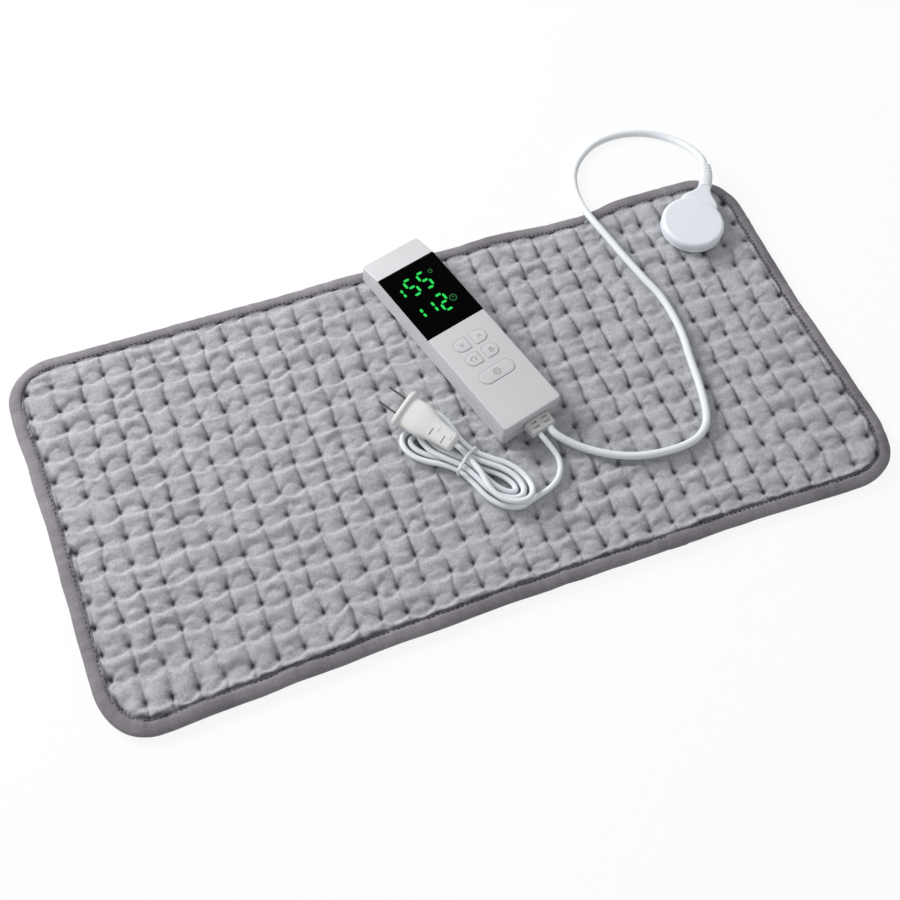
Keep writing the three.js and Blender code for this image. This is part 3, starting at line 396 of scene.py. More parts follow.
def smoothRoute(points, stepsBetween=24):
    # Centripetal Catmull-Rom curve: a cubic between each two points, with slopes from its neighbours
    # weighed by the square roots of their distances
    points = np.array(points, float)
    p = np.vstack([2 * points[0] - points[1], points, 2 * points[-1] - points[-2]])
    spans = np.linalg.norm(np.diff(p, axis=0), axis=1)[:, None] ** 0.5
    s0, s1, s2 = spans[:-2], spans[1:-1], spans[2:]
    p0, p1, p2, p3 = p[:-3], p[1:-2], p[2:-1], p[3:]
    slope1 = ((p1 - p0) / s0 - (p2 - p0) / (s0 + s1) + (p2 - p1) / s1) * s1
    slope2 = ((p2 - p1) / s1 - (p3 - p1) / (s1 + s2) + (p3 - p2) / s2) * s1
    t = np.linspace(0, 1, stepsBetween, endpoint=False)[None, :, None]
    curve = (
        (2 * t**3 - 3 * t**2 + 1) * p1[:, None]
        + (t**3 - 2 * t**2 + t) * slope1[:, None]
        + (3 * t**2 - 2 * t**3) * p2[:, None]
        + (t**3 - t**2) * slope2[:, None]
    )
    return np.vstack([curve.reshape(-1, 3), points[-1]])


def evenly(points, step):
    # The same line with points at even distances along it
    distance = np.concatenate([[0], np.cumsum(np.linalg.norm(np.diff(points, axis=0), axis=1))])
    at = np.linspace(0, distance[-1], int(distance[-1] / step) + 1)
    return np.stack([np.interp(at, distance, points[:, k]) for k in range(3)], axis=1)


def lengthOf(points):
    return float(np.linalg.norm(np.diff(points, axis=0), axis=1).sum())


def tube(path, radius, sides):
    # A round section carried along a path, with one of its axes kept level
    along = unit(np.gradient(path, axis=0))
    side = unit(np.cross(along, (0, 0, 1)))
    up = np.cross(side, along)
    angle = fullTurn(sides)[None, :, None]
    return path[:, None] + radius * (np.cos(angle) * side[:, None] + np.sin(angle) * up[:, None])


def outOf(place, local, direction, lead):
    # A cord's first two points: where it leaves a piece, and a little further out
    local = np.array([local, np.array(local, float) + lead * np.array(direction, float)])
    return placed(local, place["at"], place["turn"])


def hankLine():
    # Loops that pinch in at the waist: along = reach·cos, across = -sin·(lobe width, drawn in to the
    # waist's by exp(-(along/length)²)), spiralling in for one layer and out again for the next
    turn = np.arange(int((hank["loops"] + hank["exitTurns"]) * hank["steps"]) + 1) / hank["steps"]
    spiral = np.maximum(hank["loopsPerLayer"] - np.abs(turn - hank["loopsPerLayer"]), 0)
    angle = turn * 2 * math.pi
    along = (hank["reach"] - hank["lobePitch"] * spiral) * np.cos(angle)
    lobe = hank["lobeHalfWidth"] - hank["lobePitch"] * spiral
    waist = np.where(turn > hank["loops"], 0, hank["waistHalfWidth"] - hank["waistPitch"] * spiral)
    narrow = bell(along, hank["waistLength"])
    across = -np.sin(angle) * (lobe + (waist - lobe) * narrow)
    climb = smooth((turn - hank["loopsPerLayer"]) / hank["climbTurns"] + 0.5)
    climb = climb + smooth((turn - hank["loops"] + hank["exitClimbLead"]) / hank["exitClimbTurns"])
    height = hank["bottomZ"] + hank["waistLift"] * narrow + climb * hank["layerPitch"]
    lobeTurn = np.where(turn < hank["loopsPerLayer"], *hank["lobeTurns"])
    lean = np.radians(lobeTurn * smooth(-along / hank["lobeTurnLength"]))
    x = along * np.cos(lean) - across * np.sin(lean)
    y = along * np.sin(lean) + across * np.cos(lean)
    return placed(np.stack([x, y, height], axis=1), hankPlace["at"], hankPlace["turn"])


def bentAway(points):
    # What lies beyond the relief's start is laid along an arc that turns to the connector's left
    turn, start = math.radians(reliefBend["turn"]), reliefBend["start"]
    radius = reliefBend["length"] / turn
    angle = (points[..., 1] - start) / radius
    out = radius + points[..., 0]
    return np.stack([out * np.cos(angle) - radius, start + out * np.sin(angle), points[..., 2]], axis=-1)


def cordPaths():
    frontward = (0, -1, 0)
    exit1, ahead1 = outOf(controllerPlace, padCord["exit"], frontward, padCord["diameter"])
    turn = math.radians(reliefBend["turn"])
    reliefEnd = bentAway(np.array([0, reliefBend["start"] + reliefBend["length"] + gap, reliefBend["axisZ"]]))
    away = (-math.sin(turn), math.cos(turn), 0)
    end1, before1 = outOf(connectorPlace, reliefEnd, away, padCord["diameter"])
    padPath = smoothRoute([exit1, ahead1, *padCord["route"], before1, end1])
    exit2, ahead2 = outOf(controllerPlace, mains["exit"], frontward, mains["diameter"])
    end2, before2 = outOf(plugPlace, (0, -gap, 0), frontward, mains["diameter"])
    mainsPath = smoothRoute([exit2, ahead2, *mains["route"], *hankLine(), before2, end2])
    return evenly(padPath, padCord["step"]), evenly(mainsPath, mains["step"])


padCordPath, mainsPath = cordPaths()
print("cords: pad cord %.0f mm, mains cord %.0f mm" % (lengthOf(padCordPath), lengthOf(mainsPath)))


# Finishes

def plushFinish():
    # Short pile: fine fibres flecked with painted light and shade, soft cloudy patches, and painted shade
    # where the cloth is drawn in
    look = Finish("greyPlush", Specular_IOR_Level=0.15)
    patch = look.noise(38.0, 3.0, 0.6)
    fibre = look.noise(560.0, 3.0, 0.7, distortion=1.0)
    nap = look.noise(3200.0, 2.0, 0.6)
    pile = look.mix(look.clamped(patch * 1.6 - 0.3), tone(166, 167, 172), tone(189, 190, 194))
    # Painted light and shade: each fibre fleck shows a shaded or a lit copy of the pile's colour
    shaded, lit = look.mix(0.4, pile, tone(124, 125, 132)), look.mix(0.3, pile, tone(232, 233, 236))
    flecked = look.mix(look.clamped(fibre * 2.6 - 0.8), shaded, lit)
    # Painted shade: the colour goes towards dark grey in the folds, in and around the tuft dimples, and along
    # the tape's seam
    color = look.mix(look.clamped(look.attribute("paintedShade")), flecked, tone(48, 47, 52))
    return look.coated(color, 0.86 + 0.12 * nap, fibre * 0.8 + nap * 0.2, 0.0009, 0.7)


def undersideFinish():
    look = Finish("undersideCloth", Specular_IOR_Level=0.2)
    weave = look.noise(2600.0, 2.0, 0.5, look.stretched((1.0, 2.6, 1.0)))
    patch = look.noise(30.0, 3.0)
    color = look.mix(weave * 0.6 + patch * 0.4, tone(128, 129, 134), tone(168, 169, 174))
    return look.coated(color, 0.82 + 0.15 * weave, weave, 0.0003, 0.5)


def tapeFinish():
    # Woven tape: threads both ways from two sine waves, slubs, and pleats here and there across the tape,
    # whose folds are also painted lighter and darker in its colour
    look = Finish("wovenTape", Specular_IOR_Level=0.2)
    x, y, z = (look.node("ShaderNodeSeparateXYZ", look.place, output=k) for k in range(3))
    threads = look.maths("SINE", x * 8200.0) * look.maths("SINE", y * 8200.0 + z * 7000.0)
    slub = look.noise(700.0, 3.0, 0.6)
    patch = look.noise(42.0, 2.0)
    walk = look.node("ShaderNodeCombineXYZ", look.attribute("walk"))
    pleat = look.noise(190.0, 3.0, 0.6, walk) * look.clamped(look.noise(14.0, 1.0, 0.5, walk) * 3.0 - 0.9)
    # Painted light and shade: besides their bump, the pleats lighten and darken the tape's colour along their
    # folds
    shade = look.clamped(threads * 0.16 + slub * 0.6 + patch * 0.5 + pleat * 0.6 - 0.22)
    color = look.mix(shade, tone(97, 93, 99), tone(161, 157, 163))
    return look.coated(color, 0.78 + 0.18 * slub, threads * 0.08 + slub * 0.2 + pleat, 0.0014, 0.55)


def threadFinish(name, dark, light):
    look = Finish(name, Specular_IOR_Level=0.25)
    twist = look.noise(2600.0, 2.0, 0.6, look.stretched((1.0, 1.0, 3.0)))
    return look.coated(look.mix(twist, dark, light), 0.7 + 0.2 * twist, twist, 0.0002, 0.6)


def plasticFinish(name, dark, light, grainScale=3800.0, roughness=0.42, **constants):
    # Moulded plastic: a very fine grain and faint cloudy tone
    look = Finish(name, **constants)
    rough = roughness - 0.05 + 0.1 * look.noise(160.0, 3.0)
    color = look.mix(look.noise(26.0, 2.0), dark, light)
    return look.coated(color, rough, look.noise(grainScale, 2.0, 0.6), 0.00004, 0.35)


def glassFinish():
    look = Finish("blackWindow", Specular_IOR_Level=0.02)
    smear = look.noise(55.0, 3.0)
    return look.coated(look.mix(smear, tone(1, 1, 2), tone(5, 5, 6)), 0.05 + 0.06 * smear)


def glowFinish(name, dark, bright):
    look = Finish(name, Roughness=0.4, Emission_Strength=1.0)
    look.give("Emission Color", look.mix(look.noise(900.0, 1.0), dark, bright))
    return look.coated(tone(4, 24, 10))


def metalFinish(name, dark, light, brushed):
    look = Finish(name, Metallic=1.0)
    streak = look.noise(900.0, 3.0, 0.6, look.stretched(brushed))
    return look.coated(look.mix(streak, dark, light), 0.22 + 0.2 * streak, streak, 0.00002, 0.3)


def boardFinish():
    # Solder mask over traces, from a brick pattern
    look = Finish("circuitBoard", Roughness=0.45)
    traces = look.node("ShaderNodeTexBrick", output="Fac", Vector=look.place, Scale=90.0)
    mask = look.mix(look.noise(60.0), tone(22, 78, 50), tone(34, 98, 64))
    return look.coated(look.mix(traces, mask, tone(70, 132, 84)), None, traces, 0.00003, 0.5)


finerAlongX, finerAlongZ = (4.0, 1.0, 1.0), (1.0, 1.0, 5.0)
finishes = {
    "plush": plushFinish(),
    "underside": undersideFinish(),
    "tape": tapeFinish(),
    "tapeThread": threadFinish("tapeThread", tone(48, 45, 52), tone(78, 74, 82)),
    "tuftThread": threadFinish("tuftThread", tone(9, 9, 11), tone(16, 16, 19)),
    "white": plasticFinish("whitePlastic", tone(200, 200, 203), tone(208, 208, 211)),
    "connectorWhite": plasticFinish("connectorPlastic", tone(226, 231, 238), tone(235, 240, 246)),
    "cord": plasticFinish(
        "cordPlastic", tone(224, 229, 233), tone(232, 236, 240), 1400.0, 0.6, Specular_IOR_Level=0.3
    ),
    "boot": plasticFinish("bootPlastic", tone(196, 196, 198), tone(210, 210, 212), 2400.0, 0.5),
    "plug": plasticFinish("plugPlastic", tone(222, 222, 220), tone(232, 232, 230), 3000.0, 0.46),
    "keyMark": plasticFinish("keyMark", tone(118, 119, 122), tone(136, 137, 140), 2000.0, 0.6),
    "window": glassFinish(),
    "digit": glowFinish("litDigit", tone(14, 205, 74), tone(26, 232, 92)),
    "dimSign": glowFinish("dimSign", tone(18, 96, 40), tone(24, 120, 52)),
    "dark": plasticFinish("darkPlastic", tone(34, 36, 40), tone(46, 48, 52), 2600.0, 0.55),
    "felt": threadFinish("felt", tone(206, 204, 198), tone(232, 230, 224)),
    "sleeve": plasticFinish("heaterSleeve", tone(228, 222, 208), tone(244, 240, 228), 3000.0, 0.6),
    "brass": metalFinish("brass", tone(184, 152, 88), tone(222, 196, 132), finerAlongZ),
    "steel": metalFinish("steel", tone(168, 172, 176), tone(206, 208, 212), finerAlongX),
    "blade": metalFinish("bladeMetal", tone(96, 92, 90), tone(128, 124, 120), finerAlongX),
    "ceramic": plasticFinish("ceramic", tone(204, 192, 166), tone(224, 214, 190), 1800.0, 0.6),
    "board": boardFinish(),
}
carriedOver = {
    "felt": ("element_carrier",),
    "sleeve": ("heating_wire",),
    "dark": ("temperature_sensor", "socket_base", "display_module", "filter_capacitor", "triac", "switch_"),
    "ceramic": ("thermal_cutout", "fuse"),
    "brass": ("socket_pin_", "connector_contact_"),
    "connectorWhite": ("connector_lower_shell",),
    "white": ("controller_back_shell",),
    "board": ("circuit_board",),
    "steel": ("controller_screw_",),
    "blade": ("plug_blade_",),
}
for name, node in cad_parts.items():
    for finish, starts in carriedOver.items():
        if name.startswith(starts):
            node.data.materials.clear()
            node.data.materials.append(finishes[finish])
print("finishes:", len(finishes))


# Pad

pad = {"length": 600, "width": 300, "cornerRadius": 36.5}
padEdges = {  # where the cloth's edges lie: positions along each edge, and the edge there
    "front": (
        [-260, -210, -160, -90, 0, 110, 165, 260],
        [-156.5, -154.5, -152, -149, -147, -146.5, -145.5, -147.5],
    ),
    "back": (
        [-260, -90, -40, 60, 90, 140, 165, 210, 260],
        [148.5, 149.5, 151, 151.5, 153, 149.5, 149, 155.5, 156],
    ),
    "right": ([-120, -100, -60, -20, 20, 60], [304, 306, 304, 301.5, 299, 298.5]),
    "left": ([-120, -60, 0, 60, 100, 120], [-298, -299, -299.5, -301.5, -304, -303.5]),
    "columns": ([-176, 8, 100, 193, 267], [-1.3, -0.9, -1.1, -2.1, -2.5]),
    "easeY": (105, 45),
    "easeX": (240, 60),
}
quilt = {
    "pitchX": 18.43,
    "pitchY": 19.35,
    "columns": 32,
    "rows": 15,
    "firstY": -130,
    "steps": 11,
    "crowding": 0.7,
    "rowShares": (
        0, 0.05, 0.1, 0.15, 0.21, 0.28, 0.35, 0.42, 0.48, 0.535, 0.58, 0.625, 0.67, 0.715, 0.76, 0.805, 0.85,
        0.92,
    ),
    "rightStart": -60,  # to the right of here the cells are a little deeper
    "rightEase": 220,
    "tuftZ": 6.6,
    "crown": 4.3,
    "swell": 1.75,
    "bulge": (0.3, 0.7),
    "rim": 0.83,
    "sag": 0.17,
    "fall": 0.19,
    "fallRight": 0.14,
    "arch": 0.25,
    "archPower": 0.85,
    "puff": 0.68,
    "puffRight": 0.25,
    "puffPower": 0.6,
    "puffRound": 3.0,
    "puffTop": 0.14,
    "puffReach": (-0.4, 0.35),
    "archFold": 0.05,
    "archFoldWidth": 0.9,
    "archFoldEase": 6,
    "fold": 0.21,
    "foldRight": 0.7,
    "foldWidth": 1.1,
    "foldFade": 0.6,
    "foldEase": 8,
    "crossFold": 0.5,
    "wander": 0.75,
    "dimple": 1.5,
    "dimpleRadius": 2.0,
    "wrinkle": 0.42,
    "wrinkleReach": 6.5,
    "wrinkleStart": 3,
    "wrinkleFan": ((5, 1, 1), (8, 0.8, -2), (13, 0.6, 5)),
    "undulation": 0.13,
    "waves": 22,
    "waveLengths": (5, 30),
    "edgeFold": 0.3,
    "highest": 11.65,
    "groove": 0.35,
    "grooveSoftness": 0.3,
    "grooveSpread": 4,
    "grooveReach": 3.0,
    "ridgeTop": 11.3,
    "ridgeFall": 0.3,
    "cordReach": 18.0,
    "underTape": 8.4,
    "seamZ": 7.3,
    "seamFall": 4.5,
    "floorZ": 5.3,
}
shadow = {  # painted shade: how dark the drawn-in cloth's colour is made, from 0 to 1, and how far each shade reaches
    "dot": 0.66,
    "dotRadius": 2.1,
    "dotPower": 2.5,
    "halo": 0.2,
    "haloRadius": 4.0,
    "fold": 0.3,
    "foldFade": 0.22,
    "foldWidth": 0.85,
    "arch": 0.12,
    "seam": 0.85,
    "seamInset": 0.6,
    "seamWidth": 1.4,
}
underside = {"cellSteps": 4, "lowZ": 0.15, "dent": 0.7, "dentRadius": 3, "topZ": 2.3}
tape = {
    "width": 10.0,
    "thickness": 0.9,
    "halfHeight": 4.4,
    "squareness": 2.15,
    "step": 1.25,
    "sectionSteps": 13,
    "press": 1.2,
    "pressWidth": 3.0,
    "pucker": 0.16,
    "drift": (0.15, 0.18),
    "bulge": 0.2,
    "knots": (150, 420),
    "joinAt": 1525.0,
    "joinLength": 15,
    "joinEase": 0.8,
    "joinStep": (0.5, 0.45),
    "stitchPitch": 3.6,
    "stitchLength": 2.5,
    "stitchRadius": 0.42,
    "stitchInset": 9.2,
    "stitchLift": 0.12,
}
tuft = {"length": 1.5, "radius": 0.2, "fromTape": 1.5, "turnShare": 0.3}
firstX = -(quilt["columns"] - 1) / 2 * quilt["pitchX"]


def through(at, stations, values):
    # A line through given stations, eased between each two
    stations, values = np.array(stations, float), np.array(values, float)
    k = np.clip(np.searchsorted(stations, at) - 1, 0, len(stations) - 2)
    share = smooth((at - stations[k]) / (stations[k + 1] - stations[k]))
    return values[k] + share * (values[k + 1] - values[k])


def drawn(points):
    # The real cloth isn't a true rectangle: its edges wander, and its middle less and less
    x, y = points[..., 0], points[..., 1]
    startY, easeY = padEdges["easeY"]
    startX, easeX = padEdges["easeX"]
    front = smooth((-y - startY) / easeY) * (through(x, *padEdges["front"]) + pad["width"] / 2)
    back = smooth((y - startY) / easeY) * (through(x, *padEdges["back"]) - pad["width"] / 2)
    rightward = smooth((x - startX) / easeX)
    leftward = smooth((-x - startX) / easeX)
    right = rightward * (through(y, *padEdges["right"]) - pad["length"] / 2)
    left = leftward * (through(y, *padEdges["left"]) + pad["length"] / 2)
    middle = (1 - rightward) * (1 - leftward) * through(x, *padEdges["columns"])
    return np.stack([x + right + left + middle, y + front + back, points[..., 2]], axis=-1)


def insetAt(x, y):
    # How far a point lies inside the pad's rounded outline, and the way out from there
    radius = pad["cornerRadius"]
    dx = np.abs(x) - (pad["length"] / 2 - radius)
    dy = np.abs(y) - (pad["width"] / 2 - radius)
    corner = (dx > 0) & (dy > 0)
    reach = np.where(corner, np.hypot(dx, dy), np.maximum(dx, dy))
    outX = np.where(corner, dx / np.where(corner, reach, 1), dx >= dy) * np.sign(x)
    outY = np.where(corner, dy / np.where(corner, reach, 1), dx < dy) * np.sign(y)
    return radius - reach, outX, outY


def scatter(amount):
    # A random number for each cell and tuft, with a margin all round
    return amount * chance.standard_normal((quilt["rows"] + 3, quilt["columns"] + 3))


def around(spread, lowest, highest):
    return np.clip(1 + scatter(spread), lowest, highest)


unevenness = {
    "cell": scatter(0.12),
    "crest": 0.7 + scatter(0.1),
    "bend": scatter(0.05),
    "puff": around(0.25, 0.4, 1.5),
    "sag": around(0.25, 0.3, 1.6),
    "arch": around(0.4, 0.2, 1.7),
    "moveX": scatter(quilt["wander"]),
    "moveY": scatter(quilt["wander"]),
    "phase": scatter(3.0),
    "dark": around(0.25, 0.5, 1.5),
    "fold": around(0.35, 0.25, 1.8),
    "crossTurn": scatter(2.0),
    "crossPlace": scatter(3.0),
    "crossDepth": np.clip(scatter(1.0), 0, 1.6),
}
for outermost in (1, quilt["columns"]):  # the tape's strip of cloth hardly creases
    unevenness["fold"][:, outermost] *= quilt["edgeFold"]
circle = 2 * math.pi
waves = [
    (chance.uniform(0, circle), circle / chance.uniform(*quilt["waveLengths"]), chance.uniform(0, circle))
    for _ in range(quilt["waves"])
]


def quiltSurface(x, y):
    # In a cell, a runs across it and b back, from 0 to 1. A row of cells is a roll. It rises from a pointed
    # arch over each cell's front, foot + (crest - foot)·sin(1.75 t), to a rim that sags between the tufts,
    # and drops behind it. Between the rim and the next arch lies a small puff, sin(πa)^0.6. A crease exp(-d²)
    # runs back from each tuft and fades, and another lies at random across some cells. Around each tuft are
    # a dimple exp(-r²) and wrinkles cos(k·angle) that fan out. Faint short waves run over the whole cloth,
    # and at the tape it curves down like a quarter circle.
    columns, rows = quilt["columns"], quilt["rows"]
    u, v = (x - firstX) / quilt["pitchX"], (y - quilt["firstY"]) / quilt["pitchY"]
    i = np.clip(np.floor(u).astype(int), -1, columns - 1)
    j = np.clip(np.floor(v).astype(int), -1, rows - 1)
    a, b = np.clip(u - i, 0, 1), np.clip(v - j, 0, 1)
    i, j = i + 1, j + 1
    uneven = {name: table[j, i] for name, table in unevenness.items()}
    over = smooth(a)
    bow = np.sin(math.pi * a).clip(0)
    rightward = smooth((x - quilt["rightStart"]) / quilt["rightEase"])
    fall = quilt["fall"] + quilt["fallRight"] * rightward
    rim = quilt["rim"] - quilt["sag"] * uneven["sag"] * bow
    arch = quilt["arch"] * uneven["arch"] * (1 - np.abs(2 * a - 1)) ** quilt["archPower"]
    puff = quilt["puff"] * (1 + quilt["puffRight"] * rightward) * bow ** quilt["puffPower"]

    def puffFrom(row, back):
        fromTop = np.clip(back, *quilt["puffReach"]) - quilt["puffTop"]
        return puff * unevenness["puff"][row, i] * (1 - quilt["puffRound"] * fromTop**2)

    foot, footBehind = puffFrom(j, b), puffFrom(j + 1, b - 1)
    bulge, bulgePower = quilt["bulge"]
    crest = (1 - over) * unevenness["crest"][j, i] + over * unevenness["crest"][j, i + 1]
    crest = crest + (bulge + uneven["cell"]) * bow**bulgePower
    t = np.clip((b - arch) / (rim - fall / 2 - arch), 0, 1)
    archFold = bell((b - arch) * quilt["pitchY"], quilt["archFoldWidth"])
    archFold = archFold * smooth(b * quilt["archFoldEase"]) * bow**0.5
    rise = foot + (crest - foot) * np.sin(quilt["swell"] * t) - quilt["archFold"] * uneven["arch"] * archFold
    behindRim = smooth((b - rim) / fall + 0.5)
    rise = rise * (1 - behindRim) + footBehind * behindRim

    middleX, middleY = (a - 0.5) * quilt["pitchX"], (b - 0.5) * quilt["pitchY"]
    turn = uneven["crossTurn"]
    offLine = middleX * np.cos(turn) + middleY * np.sin(turn) - uneven["crossPlace"]
    crossFold = uneven["crossDepth"] * bell(offLine, quilt["foldWidth"]) * bow * t * (1 - behindRim)

    nearI, nearJ = np.rint(u).astype(int), np.rint(v).astype(int)
    fromX, fromY = (u - nearI) * quilt["pitchX"], (v - nearJ) * quilt["pitchY"]
    nearI, nearJ = np.clip(nearI + 1, 0, columns + 1), np.clip(nearJ + 1, 0, rows + 1)
    r, angle = np.hypot(fromX, fromY), np.arctan2(fromY, fromX)
    phase = unevenness["phase"][nearJ, nearI]
    fan = sum(size * np.cos(count * angle + lead * phase) for count, size, lead in quilt["wrinkleFan"])
    wrinkles = quilt["wrinkle"] * fan * bell(r, quilt["wrinkleReach"]) * smooth(r / quilt["wrinkleStart"])
    dimple = quilt["dimple"] * bell(r, quilt["dimpleRadius"])
    undulation = sum(
        quilt["undulation"] * np.sin(k * (x * math.cos(way) + y * math.sin(way)) + start)
        for way, k, start in waves
    )

    bent = a + unevenness["bend"][j, nearI] * np.sin(math.pi * b)
    lineX = np.abs(bent - (a > 0.5)) * quilt["pitchX"]
    foldHere = unevenness["fold"][j, nearI]
    fold = quilt["fold"] * (1 + quilt["foldRight"] * rightward) * foldHere * bell(lineX, quilt["foldWidth"])
    fold = fold * (1 - quilt["foldFade"] * b) * smooth(b * quilt["foldEase"]) * (1 - behindRim)
    rise = (rise - fold).clip(0)
    z = quilt["tuftZ"] + quilt["crown"] * rise + wrinkles - dimple + undulation * smooth(rise * 2)
    z = z - quilt["crossFold"] * crossFold
    inside = insetAt(x, y)[0] - tape["width"]
    toSeam = np.clip(1 - inside / quilt["seamFall"], 0, 1)
    z = quilt["seamZ"] + (z - quilt["seamZ"]) * np.sqrt(1 - toSeam**2)

    # Painted shade in the cloth's colour: along the folds and the arch fold, in and around each tuft's
    # dimple, and in the gap along the tape's seam
    paintedFoldShade = bell(lineX, shadow["foldWidth"]) * (shadow["fold"] - shadow["foldFade"] * b) * (1 - behindRim)
    paintedFoldShade = paintedFoldShade * foldHere + shadow["arch"] * uneven["arch"] * archFold
    dot = shadow["dot"] * np.exp(-((r / shadow["dotRadius"]) ** shadow["dotPower"]))
    dot = dot + shadow["halo"] * bell(r, shadow["haloRadius"]) * unevenness["dark"][nearJ, nearI]
    paintedSeamShadow = shadow["seam"] * bell(inside - shadow["seamInset"] - undulation, shadow["seamWidth"])
    shade = np.clip(np.maximum(paintedFoldShade, dot) + paintedSeamShadow, 0, 1)
    du, dv = smooth(u - np.floor(u)), smooth(v - np.floor(v))
    hold = smooth(inside / quilt["seamFall"])

    def wandered(table):
        low = table[j, i] * (1 - du) + table[j, i + 1] * du
        high = table[j + 1, i] * (1 - du) + table[j + 1, i + 1] * du
        return (low * (1 - dv) + high * dv) * hold

    return z, shade, wandered(unevenness["moveX"]), wandered(unevenness["moveY"])


def cellStations(first, pitch, cells, shares):
    # Positions across a row of cells, at the same shares of each
    return np.append((first + pitch * (np.arange(cells)[:, None] + shares)).ravel(), first + pitch * cells)


def padGrid(steps, rowShares, inset):
    # A grid over the quilting's cells, closer together near the lines between columns and cut to the pad's
    # outline: points beyond it go to it
    even = np.arange(steps) / steps
    share = (1 - quilt["crowding"]) * even + quilt["crowding"] * (1 - np.cos(math.pi * even)) / 2
    pitchX, pitchY = quilt["pitchX"], quilt["pitchY"]
    xs = cellStations(firstX - pitchX, pitchX, quilt["columns"] + 1, share)
    ys = cellStations(quilt["firstY"] - 2 * pitchY, pitchY, quilt["rows"] + 2, np.array(rowShares))
    x, y = np.meshgrid(xs, ys)
    within, outX, outY = insetAt(x, y)
    beyond = np.maximum(inset - within, 0)
    x, y = (x - outX * beyond).ravel(), (y - outY * beyond).ravel()
    quads = gridFaces(len(ys), len(xs))
    quads = quads[~(beyond.ravel() > 0)[quads].all(axis=1)]
    used, quads = np.unique(quads, return_inverse=True)
    return x[used], y[used], quads.reshape(-1, 4)


def closedTo(points, quads, z):
    # Adds a wall from the open edge to a height, and a fan there to the middle
    edges = np.concatenate([quads[:, [k, (k + 1) % 4]] for k in range(4)])
    forward = edges[:, 0] * len(points) + edges[:, 1]
    rim = edges[~np.isin(forward, edges[:, 1] * len(points) + edges[:, 0])]
    rimPoints, low = np.unique(rim, return_inverse=True)
    low = low.reshape(-1, 2) + len(points)
    foot = points[rimPoints]
    foot[:, 2] = z
    middle = np.full(len(rim), len(points) + len(foot))
    walls = np.stack([rim[:, 1], rim[:, 0], low[:, 0], low[:, 1]], axis=1)
    fan = np.stack([low[:, 1], low[:, 0], middle], axis=1)
    return np.concatenate([points, foot, [[0, 0, z]]]), np.concatenate([quads, walls]), fan


def softened(excess):
    # What is above zero, with the corner rounded: s·log(1 + exp(excess / s))
    share = np.clip(excess / quilt["grooveSoftness"], -20, 20)
    return quilt["grooveSoftness"] * np.log1p(np.exp(share))


def pressedDown(points):
    # The crests stay below what lies on them. The cords press the quilting into a shallow groove, below one
    # parabola along each cord's line, and the padding swells up to them, above another that falls away faster
    points[:, 2] -= softened(points[:, 2] - quilt["highest"])
    for path, cord in ((padCordPath, padCord), (mainsPath, mains)):
        line, radius = path[::2], cord["diameter"] / 2
        reach = radius * quilt["grooveReach"]
        low, high = line.min(axis=0) - reach, line.max(axis=0) + reach
        near = np.nonzero(((points > low) & (points < high))[:, :2].all(axis=1))[0]
        apart = np.linalg.norm(points[near, None, :2] - line[None, :, :2], axis=2)
        apart = np.where(line[None, :, 2] < quilt["cordReach"], apart, apart + reach)
        nearest = apart.argmin(axis=1)
        away = apart[np.arange(len(near)), nearest]
        bottom = line[nearest, 2] - radius - quilt["groove"]
        ceiling = bottom + away**2 / (quilt["grooveSpread"] * radius)
        points[near, 2] -= np.where(away < reach, softened(points[near, 2] - ceiling), 0)
        ridge = np.minimum(bottom, quilt["ridgeTop"]) - quilt["ridgeFall"] * away**2
        points[near, 2] += np.where(away < reach, softened(ridge - points[near, 2]), 0)
    return points


def makeQuilt():
    x, y, quads = padGrid(quilt["steps"], quilt["rowShares"], quilt["underTape"])
    z, shade, moveX, moveY = quiltSurface(x, y)
    points = pressedDown(drawn(np.stack([x + moveX, y + moveY, z], axis=1)))
    body = closedTo(points, quads, quilt["floorZ"])
    cover = makePiece("padQuilt", body, "plush", 80)
    measure(cover, "paintedShade", np.concatenate([shade, np.zeros(len(body[0]) - len(shade))]))
    settle(cover, padBody, "pad_fabric", "pad_top_cover")


def makeUnderside():
    # A flat cloth with a small dent under each tuft
    steps = underside["cellSteps"]
    x, y, quads = padGrid(steps, np.arange(steps) / steps, quilt["underTape"])
    u, v = (x - firstX) / quilt["pitchX"], (y - quilt["firstY"]) / quilt["pitchY"]
    r = np.hypot((u - np.rint(u)) * quilt["pitchX"], (v - np.rint(v)) * quilt["pitchY"])
    z = underside["lowZ"] + underside["dent"] * bell(r, underside["dentRadius"])
    points = drawn(np.stack([x, y, z], axis=1))
    cover = makePiece("padUnderside", closedTo(points, quads, underside["topZ"]), "underside", 80)
    settle(cover, padBody, "pad_underside_fabric", "pad_bottom_cover")


def outlineWalk(step):
    # Even steps round the pad: four straight sides, each followed by a quarter circle
    radius = pad["cornerRadius"]
    coreX, coreY = pad["length"] / 2 - radius, pad["width"] / 2 - radius
    places, outs = [], []
    corners = [(coreX, coreY), (-coreX, coreY), (-coreX, -coreY), (coreX, -coreY)]
    for quarter, centre in enumerate(corners):
        straight = 2 * (coreX if quarter % 2 else coreY)
        count, bends = round(straight / step), round(radius * math.pi / 2 / step)
        startAngle = quarter * math.pi / 2
        angle = startAngle + np.concatenate([np.zeros(count), np.arange(bends) / bends * math.pi / 2])
        back = np.concatenate([np.arange(count) / count - 1, np.zeros(bends)]) * straight
        out = np.stack([np.cos(angle), np.sin(angle)], axis=1)
        way = np.array([-math.sin(startAngle), math.cos(startAngle)])
        places.append(np.array(centre) + radius * out + back[:, None] * way)
        outs.append(out)
    places, outs = np.concatenate(places), np.concatenate(outs)
    steps = np.linalg.norm(np.diff(places, axis=0, append=places[:1]), axis=1)
    return places, outs, np.concatenate([[0], np.cumsum(steps)[:-1]])


